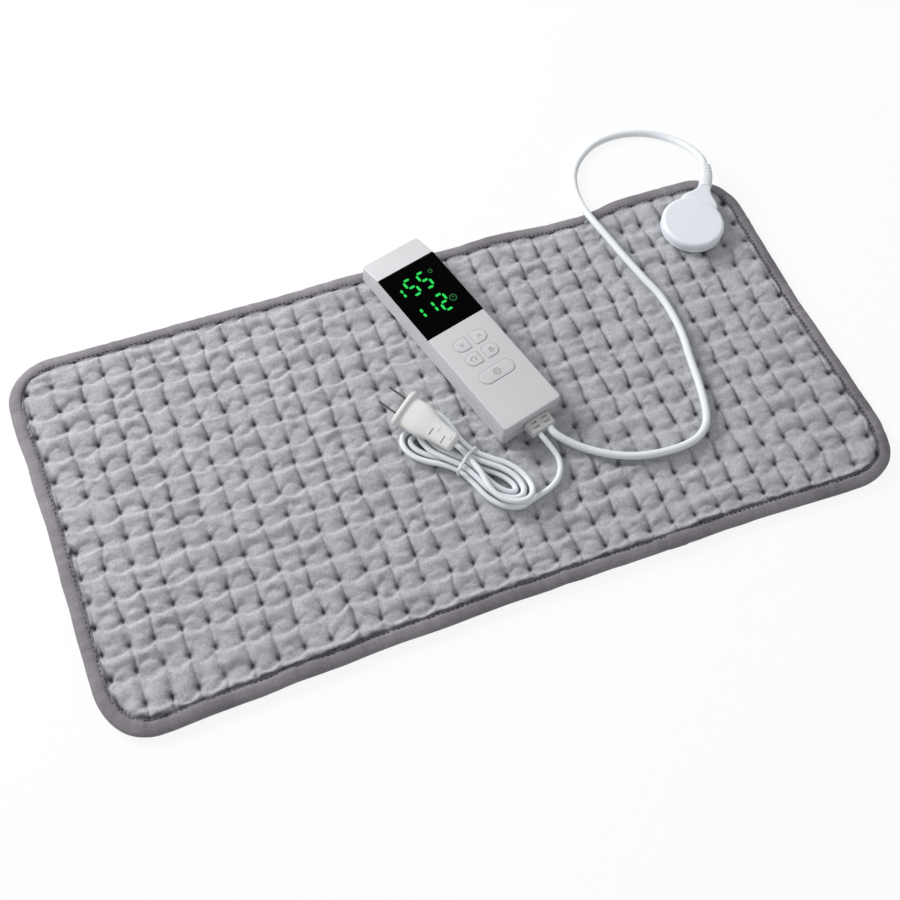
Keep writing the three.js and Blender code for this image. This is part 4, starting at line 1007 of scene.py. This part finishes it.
def seamShare(inset):
    # 0 on most of the tape, 1 at its inner edge, where the stitches press it down
    return smooth((inset - tape["width"] + tape["pressWidth"]) / tape["pressWidth"])


def tapeTop(inset):
    # Height of the tape's upper face: a squarish superellipse, pressed down at its edge
    share = np.clip((tape["width"] - inset) / tape["width"], 0, 1)
    z = tape["halfHeight"] * (1 + (1 - share ** tape["squareness"]) ** (1 / tape["squareness"]))
    return z - tape["press"] * seamShare(inset)


def makeBinding():
    # Two nested half superellipses carried round the pad, with puckers sin(distance) at the stitches, slow
    # random waves, and a step where the tape's ends overlap
    places, outs, distance = outlineWalk(tape["step"])
    angle = np.linspace(math.pi / 2, -math.pi / 2, tape["sectionSteps"] * 2 + 1)
    c, s = np.cos(angle).clip(0), np.sin(angle)
    power = 2 / tape["squareness"]
    outer = tape["width"] - tape["width"] * c**power, tape["halfHeight"] * (1 + signedPower(s, power))
    half, high = tape["width"] - tape["thickness"], tape["halfHeight"] - tape["thickness"]
    inner = tape["width"] - half * c**power, tape["halfHeight"] + high * signedPower(s, power)
    inset, z = (np.concatenate([out, within[::-1]]) for out, within in zip(outer, inner))
    upper = z > tape["halfHeight"]
    nearSeam = seamShare(inset)
    z = z - np.where(upper, tape["press"] * nearSeam, 0)
    drift, bulge = (
        np.interp(distance, np.linspace(0, distance[-1], knots), chance.standard_normal(knots))
        for knots in tape["knots"]
    )
    pull = tape["pucker"] * np.sin(2 * math.pi * distance / tape["stitchPitch"])
    driftUp, driftIn = tape["drift"]
    stepUp, stepOut = tape["joinStep"]
    lift = (driftUp * drift + tape["bulge"] * bulge)[:, None] + pull[:, None] * nearSeam[None, :]
    pastJoin = distance - tape["joinAt"]
    overlap = smooth(pastJoin / tape["joinEase"]) * smooth((tape["joinLength"] - pastJoin) / tape["joinEase"])
    insets = inset[None, :] + (driftIn * drift - stepOut * overlap)[:, None] * (1 - nearSeam)[None, :]
    heights = z[None, :] + np.where(upper, 1, 0) * (lift + stepUp * overlap[:, None])
    xy = places[:, None] - outs[:, None] * insets[:, :, None]
    rings = drawn(np.concatenate([xy, heights[:, :, None]], axis=2))
    band = makePiece("padBinding", ringBody(rings, closed=True), "tape", 60)
    measure(band, "walk", np.repeat(distance * metresPerMm, rings.shape[1]))
    settle(band, padBody, "binding_tape", "edge_binding")


def bead(length, radius, sides=6, rings=4, fullShare=0.94):
    # A short thread along Y: its radius goes as the square root of 1 - t² from end to end
    t = np.linspace(-fullShare, fullShare, rings)[:, None]
    angle = fullTurn(sides)[None, :]
    across = radius * np.sqrt(1 - t**2)
    return ringBody(
        np.stack([across * np.cos(angle), t * length / 2 + 0 * angle, across * np.sin(angle)], axis=-1)
    )


def makeStitches():
    places, outs, _ = outlineWalk(tape["stitchPitch"])
    xy = places - outs * tape["stitchInset"]
    z = np.full(len(xy), tapeTop(tape["stitchInset"]) + tape["stitchLift"])
    out = np.column_stack([outs, np.zeros(len(outs))])
    thread = bead(tape["stitchLength"], tape["stitchRadius"])
    seam = repeated(thread, drawn(np.column_stack([xy, z])), out, np.cross((0, 0, 1), out))
    settle(makePiece("bindingStitches", seam, "tapeThread", 80), padBody, "binding_tape")

    i, j = (index.ravel() for index in np.meshgrid(np.arange(quilt["columns"]), np.arange(quilt["rows"])))
    x, y = firstX + i * quilt["pitchX"], quilt["firstY"] + j * quilt["pitchY"]
    clear = insetAt(x, y)[0] > tape["width"] + tuft["fromTape"]
    x, y, i, j = x[clear], y[clear], i[clear], j[clear]
    z, _, moveX, moveY = quiltSurface(x, y)
    at = pressedDown(drawn(np.column_stack([x + moveX, y + moveY, z])))
    turn = unevenness["phase"][j + 1, i + 1] * tuft["turnShare"]
    level = np.zeros(len(x))
    first = np.column_stack([np.cos(turn), np.sin(turn), level])
    second = np.column_stack([-np.sin(turn), np.cos(turn), level])
    thread = bead(tuft["length"], tuft["radius"], rings=3)
    crosses = together(repeated(thread, at, first, second), repeated(thread, at, second, first))
    settle(makePiece("tuftStitches", crosses, "tuftThread", 80), padBody, "pad_fabric")


makeQuilt()
makeUnderside()
makeBinding()
makeStitches()
print("pad: quilt, underside, binding and stitches")


# Cords on the pad

def roundedRing(halfX, halfY, radii, z, steps):
    # Round a rectangle: its right and left corners may have different radii
    angle = (np.arange(4)[:, None] + np.arange(steps + 1)[None, :] / steps).ravel() * math.pi / 2
    right = np.repeat([True, False, False, True], steps + 1)
    front = np.repeat([False, False, True, True], steps + 1)
    radius = np.where(right, radii[0], radii[1])
    x = np.where(right, 1, -1) * (halfX - radius) + radius * np.cos(angle)
    y = np.where(front, -1, 1) * (halfY - radius) + radius * np.sin(angle)
    return np.stack([x, y, np.full(len(x), float(z))], axis=1)


def makeCord(name, path, cord):
    return makePiece(name, ringBody(tube(path, cord["diameter"] / 2, cord["sides"])), "cord", 50)


padCordPiece = makeCord("padCord", padCordPath, padCord)
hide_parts("pad_cord")
mainsCordPiece = makeCord("mainsCord", mainsPath, mains)
settle(mainsCordPiece, padBody, "cord_plastic", "mains_lead", "mains_hank")

tie = {
    "strands": [(-8.575, 15.3), (8.575, 15.3), (8.575, 20.1), (0, 24.9), (-8.575, 20.1)],
    "radius": 2.95,
    "halfWidth": 1.15,
    "halfThickness": 0.5,
    "cornerSteps": 8,
    "sides": 16,
    "squareness": 0.4,
}


def makeTie():
    # A flat band: arcs about the outer strands' centres, joined by straight runs, with a rounded section
    centres = np.array(tie["strands"], float)
    before, after = np.roll(centres, 1, axis=0), np.roll(centres, -1, axis=0)
    start = np.arctan2(*(centres - before).T[::-1]) - math.pi / 2
    sweep = (np.arctan2(*(after - centres).T[::-1]) - math.pi / 2 - start) % (2 * math.pi)
    angle = start[:, None] + sweep[:, None] * np.linspace(0, 1, tie["cornerSteps"])[None, :]
    out = np.stack([np.cos(angle), np.sin(angle)], axis=-1).reshape(-1, 2)
    line = np.repeat(centres, tie["cornerSteps"], axis=0) + tie["radius"] * out
    t = fullTurn(tie["sides"])
    wide = tie["halfWidth"] * signedPower(np.cos(t), tie["squareness"])
    deep = tie["halfThickness"] * np.sin(t)
    yz = line[:, None] + out[:, None] * deep[None, :, None]
    rings = np.concatenate([np.broadcast_to(wide[None, :, None], yz.shape[:2] + (1,)), yz], axis=2)
    band = makePiece("hankTie", laid(ringBody(rings, closed=True), hankPlace), "cord", 50)
    settle(band, padBody, "cord_plastic", "hank_tie")


makeTie()
print("cords and tie")


# Plug

plug = {
    "stations": [
        (0, 6.9, 4.6), (8, 7.6, 5.0), (16, 8.6, 5.4), (21, 9.9, 5.8), (26, 11.4, 6.4), (31, 12.2, 6.8),
        (38, 12.2, 7.0), (42.2, 12.4, 7.1), (43.4, 13.6, 7.9),
    ],
    "step": 0.8,
    "sides": 48,
    "length": 46.7,
    "flangeHalfWidth": 14.6,
    "flangeHalfHeight": 8.8,
    "edge": 0.9,
    "rearRound": 2.2,
    "squareness": 0.58,
    "slits": [(-2.5, 18.2, 3.6), (-2.4, 7.9, 3.2), (2.7, 13.7, 4.9), (3.1, 3.4, 4.4)],
    "slitHalf": (2.9, 0.5),
    "slitTop": 8,
    "slitRound": 0.3,
}


def squared(halfWidths, halfHeights, middleZ, stations, sides, power):
    # Sections across Y: x = w·|cos|^p and z = h·|sin|^p with their signs
    t = (np.arange(sides) + 0.5) / sides * 2 * math.pi
    w, h, y = (np.array(v, float)[:, None] for v in (halfWidths, halfHeights, stations))
    x = w * signedPower(np.cos(t), power)
    return np.stack([x, y + 0 * x, middleZ + h * signedPower(np.sin(t), power)], axis=-1)


def block(half, bottom, top, x=0, y=0, radius=0.4, cornerSteps=3):
    low, high = (roundedRing(*half, (radius, radius), z, cornerSteps) for z in (bottom, top))
    return moved(ringBody(np.stack([low, high])), (x, y, 0))


def makePlug():
    y, w, h = evenly(smoothRoute(plug["stations"]), plug["step"]).T
    end, edge, turnIn = plug["length"], plug["edge"], quarterTurn()
    rear = roundOff(plug["rearRound"], y)
    rimY = np.concatenate([y[-1] + edge * (1 - np.cos(turnIn)), end - edge + edge * np.sin(turnIn)])
    rimIn = np.concatenate([edge * (1 - np.sin(turnIn)), edge * (1 - np.cos(turnIn))])
    y = np.concatenate([y[:-1], rimY])
    w = np.concatenate([(w - rear)[:-1], plug["flangeHalfWidth"] - rimIn])
    h = np.concatenate([(h - rear)[:-1], plug["flangeHalfHeight"] - rimIn])
    rings = squared(w, h, 0, y, plug["sides"], plug["squareness"])
    slits = together(*(
        block(plug["slitHalf"], bottom, plug["slitTop"], x, slitY, plug["slitRound"])
        for x, slitY, bottom in plug["slits"]
    ))
    skin, slits = (laid(rolled(part, plugPlace["roll"]), plugPlace) for part in (ringBody(rings), slits))
    body = makePiece("plugBody", skin, "plug", 40)
    carve(body, [("DIFFERENCE", slits)], 40)
    settle(body, padBody, "plug_plastic", "plug_body")
    return body


plugPiece = makePlug()


# Connector

disc = {
    "radius": 25.3,
    "bottom": 4.7,
    "top": 10,
    "rim": 3.1,
    "rimSteps": 10,
    "crown": ((21, 0.02), (12, 0.05), (1, 0.06)),
    "hub": 1,
    "sides": 96,
}
shoulder = {
    "halfWidth": 15.4,
    "pull": 10,
    "neckHalfWidth": 5,
    "neckY": 41,
    "top": 8.8,
    "neckTop": 8.7,
    "squareness": 0.3,
    "overlaps": (9, 4),
    "steps": 26,
    "sides": 33,
}
reliefSleeve = {
    "startHalf": (5.3, 4.3),
    "middleHalf": (5.2, 4.4),
    "endHalf": (4.8, 4.3),
    "middleShare": 0.7,
    "ringCount": 7,
    "ringDepth": 0.45,
    "ringEase": 8,
    "endRound": 1.3,
    "steps": 81,
    "sides": 32,
    "squareness": 0.85,
}


def makeDisc():
    # A profile of radius and height carried round Z
    radius, bottom, top, rim = (disc[k] for k in ("radius", "bottom", "top", "rim"))
    turnIn = quarterTurn(disc["rimSteps"])
    rimProfile = np.stack([radius - rim + rim * np.cos(turnIn), top - rim + rim * np.sin(turnIn)], axis=1)
    crown = [(r, top + rise) for r, rise in disc["crown"]]
    profile = np.array([(disc["hub"], bottom), (radius, bottom), *rimProfile, *crown])
    angle = fullTurn(disc["sides"])[None, :]
    r, z = profile[:, :1], profile[:, 1:]
    return ringBody(np.stack([r * np.cos(angle), r * np.sin(angle), z + 0 * angle], axis=-1))


def makeShoulder():
    # From the disc to the neck along a cubic Bézier curve, with squarish arches across it
    half, neck, pull, neckY = (shoulder[k] for k in ("halfWidth", "neckHalfWidth", "pull", "neckY"))
    startY = math.sqrt(disc["radius"] ** 2 - half**2)
    t = np.linspace(0, 1, shoulder["steps"])
    weights = np.stack([(1 - t) ** 3, 3 * t * (1 - t) ** 2, 3 * t**2 * (1 - t), t**3], axis=1)
    within = startY - np.array(shoulder["overlaps"])
    y = np.concatenate([within, weights @ np.array([startY, startY + pull, neckY - pull, neckY])])
    w = np.concatenate([[half, half], weights @ np.array([half, half, neck, neck])])
    high = shoulder["top"] + (shoulder["neckTop"] - shoulder["top"]) * smooth((y - startY) / (neckY - startY))
    phi = np.linspace(0, math.pi, shoulder["sides"])
    x = w[:, None] * signedPower(np.cos(phi), shoulder["squareness"])
    lift = (high - disc["bottom"])[:, None] * np.sin(phi).clip(0) ** shoulder["squareness"]
    return ringBody(np.stack([x, y[:, None] + 0 * x, disc["bottom"] + lift], axis=-1))


def makeRelief():
    # A sleeve with sunk rings, sin² along it, bent with the cord and rounded at its end
    length, steps = reliefBend["length"], reliefSleeve["steps"]
    y = np.linspace(0, length, steps)
    share = y / length
    halves = np.array([reliefSleeve[k] for k in ("startHalf", "middleHalf", "endHalf")])
    w, h = (np.interp(share, [0, reliefSleeve["middleShare"], 1], column) for column in halves.T)
    rings = reliefSleeve["ringDepth"] * np.sin(share * reliefSleeve["ringCount"] * 2 * math.pi).clip(0) ** 2
    rings = rings * smooth(share * reliefSleeve["ringEase"]) * smooth((1 - share) * reliefSleeve["ringEase"])
    inset = rings + roundOff(reliefSleeve["endRound"], length - y)
    stations, sides = y + reliefBend["start"], reliefSleeve["sides"]
    sections = squared(w - inset, h - inset, reliefBend["axisZ"], stations, sides, reliefSleeve["squareness"])
    return ringBody(bentAway(sections))


connectorTop = makePiece("connectorTop", laid(makeDisc(), connectorPlace), "connectorWhite", 40)
carve(connectorTop, [("UNION", laid(makeShoulder(), connectorPlace))], 40)
settle(connectorTop, "connector", "white_plastic", "connector_upper_shell")
connectorRelief = makePiece("connectorRelief", laid(makeRelief(), connectorPlace), "cord", 50)
settle(connectorRelief, "connector", "cord_plastic", "connector_strain_relief")
print("plug and connector")


# Controller

controller = {
    "length": 180,
    "width": 51.6,
    "height": 20,
    "splitZ": 8.5,
    "corner": 2.5,
    "smallestCorner": 0.05,
    "edge": 0.9,
    "innerEdge": 0.05,
    "endSteps": 8,
    "steps": 61,
    "capY": 68.8,
    "capDrop": 5.5,
    "capBlend": 0.4,
    "capReach": 3,
    "capSteps": 13,
    "wall": 2,
    "roof": 2.6,
    "windowY": (3.6, 68.8),
    "windowThickness": 1.3,
    "windowEdge": 0.5,
    "openingHalf": (19.3, 25.3),
    "openingDepth": 4,
    "keyHoleZ": (14, 24),
    "overrun": 1,
    "sharp": 0.01,
}
keys = {
    "places": [
        ("upper_left", -8, -14.0, 12, 11), ("upper_right", 8, -14.0, 12, 11),
        ("lower_left", -8, -28.7, 12, 11), ("lower_right", 8, -28.7, 12, 11), ("power", 0, -46.6, 30, 12),
    ],
    "innerRadius": 1.2,
    "smallestRadius": 0.05,
    "flat": 0.001,  # left between two half circles
    "cornerSteps": 10,
    "top": 20.4,
    "edge": 0.45,
    "crown": 0.12,
    "crownShares": (0.4, 0.7, 0.92),
    "flange": 0.9,
    "flangeZ": (14.7, 17.1),
}
boot = {
    "halfWidth": 11,
    "length": 10.7,
    "halfHeight": 4.5,
    "edge": 1.2,
    "taper": 0.5,
    "sides": 56,
    "squareness": 0.38,
    "x": 3,
    "startY": -90.3,
    "axisZ": 8.5,
    "slotHalf": (2.5, 0.8),
    "slotX": 4.6,
    "slotRows": (3.2, 7.2),
    "slotDepth": 1.8,
    "slotRound": 0.3,
    "neckHalf": (8.2, 1.8),
    "neckHalfHeight": 3.7,
    "openingHalf": (8.5, 3),
    "openingY": -89,
    "openingZ": (4.5, 12.5),
}


def caseTop(y):
    # Level, then straight down over the cap
    slope = controller["capDrop"] / (controller["length"] / 2 - controller["capY"])
    over = y - controller["capY"]
    return controller["height"] - slope * (over + np.sqrt(over**2 + controller["capBlend"])) / 2


def caseBody(bottom, wall, roof, edge, yRange=None, cornerSteps=6):
    # Sections across Y, rounded above, drawn in at both ends along the case's round corners
    half, end = controller["width"] / 2 - wall, controller["length"] / 2 - wall
    low, high = yRange or (-end, end)
    corner = 0.0 if yRange else max(controller["corner"] - wall, controller["smallestCorner"])
    turn = quarterTurn(controller["endSteps"])
    ease = np.sort(np.concatenate([corner * (1 - np.cos(turn)), edge * (1 - np.cos(turn))]))
    middle = np.linspace(low, high, controller["steps"])[1:-1]
    reach = controller["capReach"]
    near = controller["capY"] + np.linspace(-reach, reach, controller["capSteps"])
    near = near[(near > low + reach) & (near < high - reach)]
    y = np.unique(np.round(np.concatenate([low + ease, high - ease, middle, near]), 4))
    fromEnd = np.minimum(y - low, high - y)
    w = half - roundOff(corner, fromEnd)
    top = caseTop(y) - roof - roundOff(edge, fromEnd)
    t = quarterTurn(cornerSteps)
    side = np.concatenate([[0], edge * (1 - np.cos(t)), edge * (1 - np.cos(t[::-1])), [0]])
    drop = np.concatenate([[0], edge * (1 - np.sin(t)), edge * (1 - np.sin(t[::-1])), [0]])
    sign = np.repeat([1, -1], cornerSteps + 1)
    foot = np.zeros(len(side), bool)
    foot[[0, -1]] = True
    x = (w[:, None] - side[None, :]) * sign[None, :]
    z = np.where(foot[None, :], bottom, top[:, None] - drop[None, :])
    return ringBody(np.stack([x, y[:, None] + 0 * x, z], axis=-1))


def keyRing(x, y, width, length, grow, z):
    # Round a key: its corners on the outer side are half circles, and those on the inner side are small
    outer = length / 2 + grow
    wide = width > 2 * length
    inner = max(keys["innerRadius"] + grow, keys["smallestRadius"])
    radii = [(outer if wide or outward > 0 else inner) - keys["flat"] for outward in (x, -x)]
    return roundedRing(width / 2 + grow, outer, radii, z, keys["cornerSteps"]) + np.array([x, y, 0])


def makeCase():
    low, high = controller["windowY"]
    middle, over, sharp = (high + low) / 2, controller["overrun"], controller["sharp"]
    split, top = controller["splitZ"], controller["height"]
    windowBottom = top - controller["windowThickness"]
    floor = windowBottom - gap
    inside = caseBody(split - over, controller["wall"], controller["roof"], controller["innerEdge"])
    recess = block((controller["width"] / 2 + over, (high - low) / 2), floor, top + over, 0, middle, sharp)
    opening = block(
        controller["openingHalf"], floor - controller["openingDepth"], floor + over / 2, 0, middle, over / 2
    )
    holes = together(*(
        ringBody(np.stack([keyRing(*place, gap, z) for z in controller["keyHoleZ"]]))
        for _, *place in keys["places"]
    ))
    slot = block(boot["openingHalf"], *boot["openingZ"], boot["x"], boot["openingY"], sharp)
    shell = caseBody(split, 0, 0, controller["edge"])
    front = makePiece("controllerFront", laid(shell, controllerPlace), "white", 30)
    cuts = (inside, recess, opening, holes, slot)
    carve(front, [("DIFFERENCE", laid(tool, controllerPlace)) for tool in cuts], 30)
    settle(front, padBody, "white_plastic", "controller_front_shell")

    window = caseBody(windowBottom, 0, 0, controller["windowEdge"], (low + gap, high - gap))
    glass = makePiece("displayGlass", laid(window, controllerPlace), "window", 40)
    settle(glass, padBody, "black_window", "display_window")


def makeKeys():
    # Each key is a stack of rings: a flange inside the case, the cap's wall, its round edge, its faint crown
    top, edge, flange, crown = keys["top"], keys["edge"], keys["flange"], keys["crown"]
    low, high = keys["flangeZ"]
    for name, *place in keys["places"]:
        half = place[-1] / 2
        levels = [(flange, low), (flange, high), (0, high)]
        levels += [(-edge * (1 - math.cos(t)), top - edge + edge * math.sin(t)) for t in quarterTurn()]
        levels += [(-share * half, top + crown * share * (2 - share)) for share in keys["crownShares"]]
        rings = np.stack([keyRing(*place, grow, z) for grow, z in levels])
        cap = makePiece(f"key_{name}", laid(ringBody(rings), controllerPlace), "white", 40)
        settle(cap, f"key_{name}", "white_plastic", f"button_{name}")


def makeBoot():
    edge, length, x, startY, axisZ = (boot[k] for k in ("edge", "length", "x", "startY", "axisZ"))
    ease = edge * (1 - np.cos(quarterTurn()))
    y = np.concatenate([ease, [length / 2], length - ease[::-1]])
    inset = roundOff(edge, np.minimum(y, length - y)) + boot["taper"] * y / length
    w, h = boot["halfWidth"] - inset, boot["halfHeight"] - inset
    body = ringBody(squared(w, h, axisZ, startY - y, boot["sides"], boot["squareness"]))
    neckZ = axisZ - boot["neckHalfHeight"], axisZ + boot["neckHalfHeight"]
    neck = block(boot["neckHalf"], *neckZ, x, startY + controller["overrun"])
    top = axisZ + boot["halfHeight"]
    slotZ = top - boot["slotDepth"], top + controller["overrun"]
    slots = together(*(
        block(boot["slotHalf"], *slotZ, x + side * boot["slotX"], startY - row, boot["slotRound"])
        for side in (-1, 1)
        for row in boot["slotRows"]
    ))
    sleeve = makePiece("controllerBoot", laid(moved(body, (x, 0, 0)), controllerPlace), "boot", 40)
    carve(sleeve, [("UNION", laid(neck, controllerPlace)), ("DIFFERENCE", laid(slots, controllerPlace))], 40)
    settle(sleeve, padBody, "cord_plastic", "controller_strain_relief")


makeCase()
makeKeys()
makeBoot()

display = {
    "z": 20.0,
    "thickness": 0.06,
    "width": 2.0,
    "halfDigit": (3.4, 7.6),
    "trim": 0.8,
    "digits": [("5", -7.5, 49.7), ("5", 4.6, 49.7), ("2", 4.7, 25.5)],
    "bars": [(2.0, -16.4, 48.4, 8.0, 0.35), (2.0, -3.6, 25.8, 9.6, 0.35), (2.1, -14.3, 25.8, 8.6, 0.4)],
    "arcs": [(0.6, 12.9, 54.6, 1.5, 0, 1), (0.7, 12.9, 24.9, 2.7, 0, 1, 28)],
    "lines": [(0.5, 12.9, 24.9, 12.9, 26.5, False), (0.5, 12.9, 24.9, 14.2, 24.9, False)],
}
segmentsOf = {"2": "top upperRight middle lowerLeft bottom", "5": "top upperLeft middle lowerRight bottom"}
marks = {
    "sunk": 0.02,
    "thickness": 0.05,
    "arcs": {  # width, centre, radius, and the parts of a turn where it starts and ends
        "lower_left": [(0.5, 0, 0, 2.0, -0.1, 0.62)],
        "lower_right": [(0.5, 0, 0.7, 1.1, 0, 0.5)],
        "power": [(0.5, 0, 0, 2.7, 0, 1, 32), (0.4, 0, 0, 1.4, 0.33, 1.17)],
    },
    "lines": {  # width, start, end
        "upper_left": [(0.5, -1.6, 1.4, 0, -1.4), (0.5, 0, -1.4, 1.6, 1.4)],
        "upper_right": [(0.5, -1.6, -1.4, 0, 1.4), (0.5, 0, 1.4, 1.6, -1.4)],
        "lower_left": [(0.5, 1.0, -1.6, 2.3, -0.6)],
        "lower_right": [
            (0.5, -1.6, 0.2, 1.6, 0.2), (0.5, -1.6, -1.8, 1.6, -1.8),
            (0.5, -1.5, 0.2, -1.5, -1.8), (0.5, 1.5, 0.2, 1.5, -1.8),
        ],
        "power": [(0.4, 0, 0.2, 0, 1.7, False)],
    },
}


def strip(thickness, width, startX, startY, endX, endY, pointed=True, blunt=0.001):
    # A flat bar between two points, with pointed or nearly square ends
    start, end = np.array([startX, startY], float), np.array([endX, endY], float)
    way = (end - start) / np.linalg.norm(end - start)
    side = np.array([-way[1], way[0]]) * width / 2
    point = way * (width / 2 if pointed else blunt)
    outline = [start, start + point + side, end - point + side, end, end - point - side, start + point - side]
    return ringBody(np.stack([np.column_stack([outline, np.full(6, z)]) for z in (0, thickness)]))


def arc(thickness, width, x, y, radius, startTurn, endTurn, count=20):
    # A flat ring or part of one, as a rectangle carried round a circle
    angle = np.linspace(startTurn, endTurn, count)[:, None] * 2 * math.pi
    corners = np.array([(-0.5, 0), (0.5, 0), (0.5, 1), (-0.5, 1)])
    r = radius + corners[None, :, 0] * width
    height = thickness * corners[None, :, 1] + 0 * angle
    return ringBody(np.stack([x + r * np.cos(angle), y + r * np.sin(angle), height], axis=-1))


def signBody(thickness, arcs, lines):
    return together(*(arc(thickness, *row) for row in arcs), *(strip(thickness, *row) for row in lines))


def makeDisplay():
    # Seven-segment digits, built of bars with pointed ends, and two small signs
    width, cut = display["width"], display["trim"]
    halfW, halfH = display["halfDigit"]
    ends = {
        "upperLeft": (-halfW, halfH - cut, -halfW, cut),
        "upperRight": (halfW, halfH - cut, halfW, cut),
        "lowerLeft": (-halfW, -cut, -halfW, -halfH + cut),
        "lowerRight": (halfW, -cut, halfW, -halfH + cut),
    }
    for level, y in (("top", halfH), ("middle", 0), ("bottom", -halfH)):
        ends[level] = (-halfW + cut, y, halfW - cut, y)
    lit = []
    for digit, x, y in display["digits"]:
        for segment in segmentsOf[digit].split():
            x0, y0, x1, y1 = ends[segment]
            lit.append((width, x + x0, y + y0, x + x1, y + y1))
    for barWidth, x, y, height, halfGap in display["bars"]:
        lit += [(barWidth, x, y + side * halfGap, x, y + side * height / 2) for side in (1, -1)]
    digits = signBody(display["thickness"], [], lit)
    signs = signBody(display["thickness"], display["arcs"], display["lines"])
    for name, finish, body in (("displayDigits", "digit", digits), ("displaySigns", "dimSign", signs)):
        body = laid(moved(body, (0, 0, display["z"])), controllerPlace)
        settle(makePiece(name, body, finish, 40), padBody, "black_window")


def makeKeyMarks():
    z = keys["top"] + keys["crown"] - marks["sunk"]
    for name, x, y, _, _ in keys["places"]:
        body = signBody(marks["thickness"], marks["arcs"].get(name, []), marks["lines"][name])
        mark = makePiece(f"mark_{name}", laid(moved(body, (x, y, z)), controllerPlace), "keyMark", 40)
        settle(mark, f"key_{name}", "dark_plastic")


makeDisplay()
makeKeyMarks()
print("controller: case, window, keys, digits and boot")

for piece, path, cord, company in (
    (mainsCordPiece, mainsPath, mains, [plugPiece, "plug_blade_left", "plug_blade_right"]),
    (padCordPiece, padCordPath, padCord, [connectorTop, connectorRelief]),
):
    tuple(path[0] * metresPerMm)
    cord["diameter"] * metresPerMm
    (path[::2] * metresPerMm).tolist()
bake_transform(padCordPiece)


# Room and light

room = {
    "floorSize": 6,
    "floorColor": (0.93, 0.93, 0.93, 1),
    "white": (1, 1, 1, 1),
    "cameraShare": 0.88,
    "sky": 0.5,
    "lampPlace": (-1.05, 1.25, 1.0),
    "lampSize": 0.9,
    "lampPower": 36,
}


def raysOf(nodes, kind):
    return nodes.node("ShaderNodeLightPath", output=f"Is {kind} Ray")


def makeFloor():
    # Nearly plain white to the camera and in reflections, and a pale matt floor to all other light
    half = room["floorSize"] / 2
    mesh = bpy.data.meshes.new("floor")
    corners = [(-half, -half, 0), (half, -half, 0), (half, half, 0), (-half, half, 0)]
    mesh.from_pydata(corners, [], [(0, 1, 2, 3)])
    floor = added("floor", mesh)
    look = bpy.data.materials.new("paleFloor")
    look.use_nodes = True
    look.node_tree.nodes.clear()
    nodes = Nodes(look.node_tree)
    share = nodes.maths("MAXIMUM", raysOf(nodes, "Camera"), raysOf(nodes, "Glossy")) * room["cameraShare"]
    matt = nodes.node("ShaderNodeBsdfDiffuse", Color=room["floorColor"])
    white = nodes.node("ShaderNodeEmission", Color=room["white"], Strength=1.0)
    nodes.node("ShaderNodeOutputMaterial", Surface=nodes.node("ShaderNodeMixShader", share, matt, white))
    mesh.materials.append(look)


def makeLight():
    # A round lamp behind and to the left, aimed at the middle, and a sky that the camera sees brighter
    lamp = bpy.data.lights.new("windowLight", "AREA")
    lamp.shape = "DISK"
    lamp.size = room["lampSize"]
    lamp.energy = room["lampPower"]
    back = unit(np.array(room["lampPlace"]))
    side = unit(np.cross((0, 0, 1), back))
    stand("windowLight", lamp, room["lampPlace"], (side, np.cross(back, side), back))

    world = bpy.data.worlds.new("room")
    bpy.context.scene.world = world
    world.use_nodes = True
    nodes = Nodes(world.node_tree)
    sky = next(n for n in world.node_tree.nodes if n.type == "BACKGROUND")
    nodes.feed(sky.inputs["Color"], room["white"])
    nodes.feed(sky.inputs["Strength"], room["sky"] + (1 - room["sky"]) * raysOf(nodes, "Camera"))
    bpy.context.scene.view_settings.view_transform = "Standard"


makeFloor()
makeLight()
print("room and light")
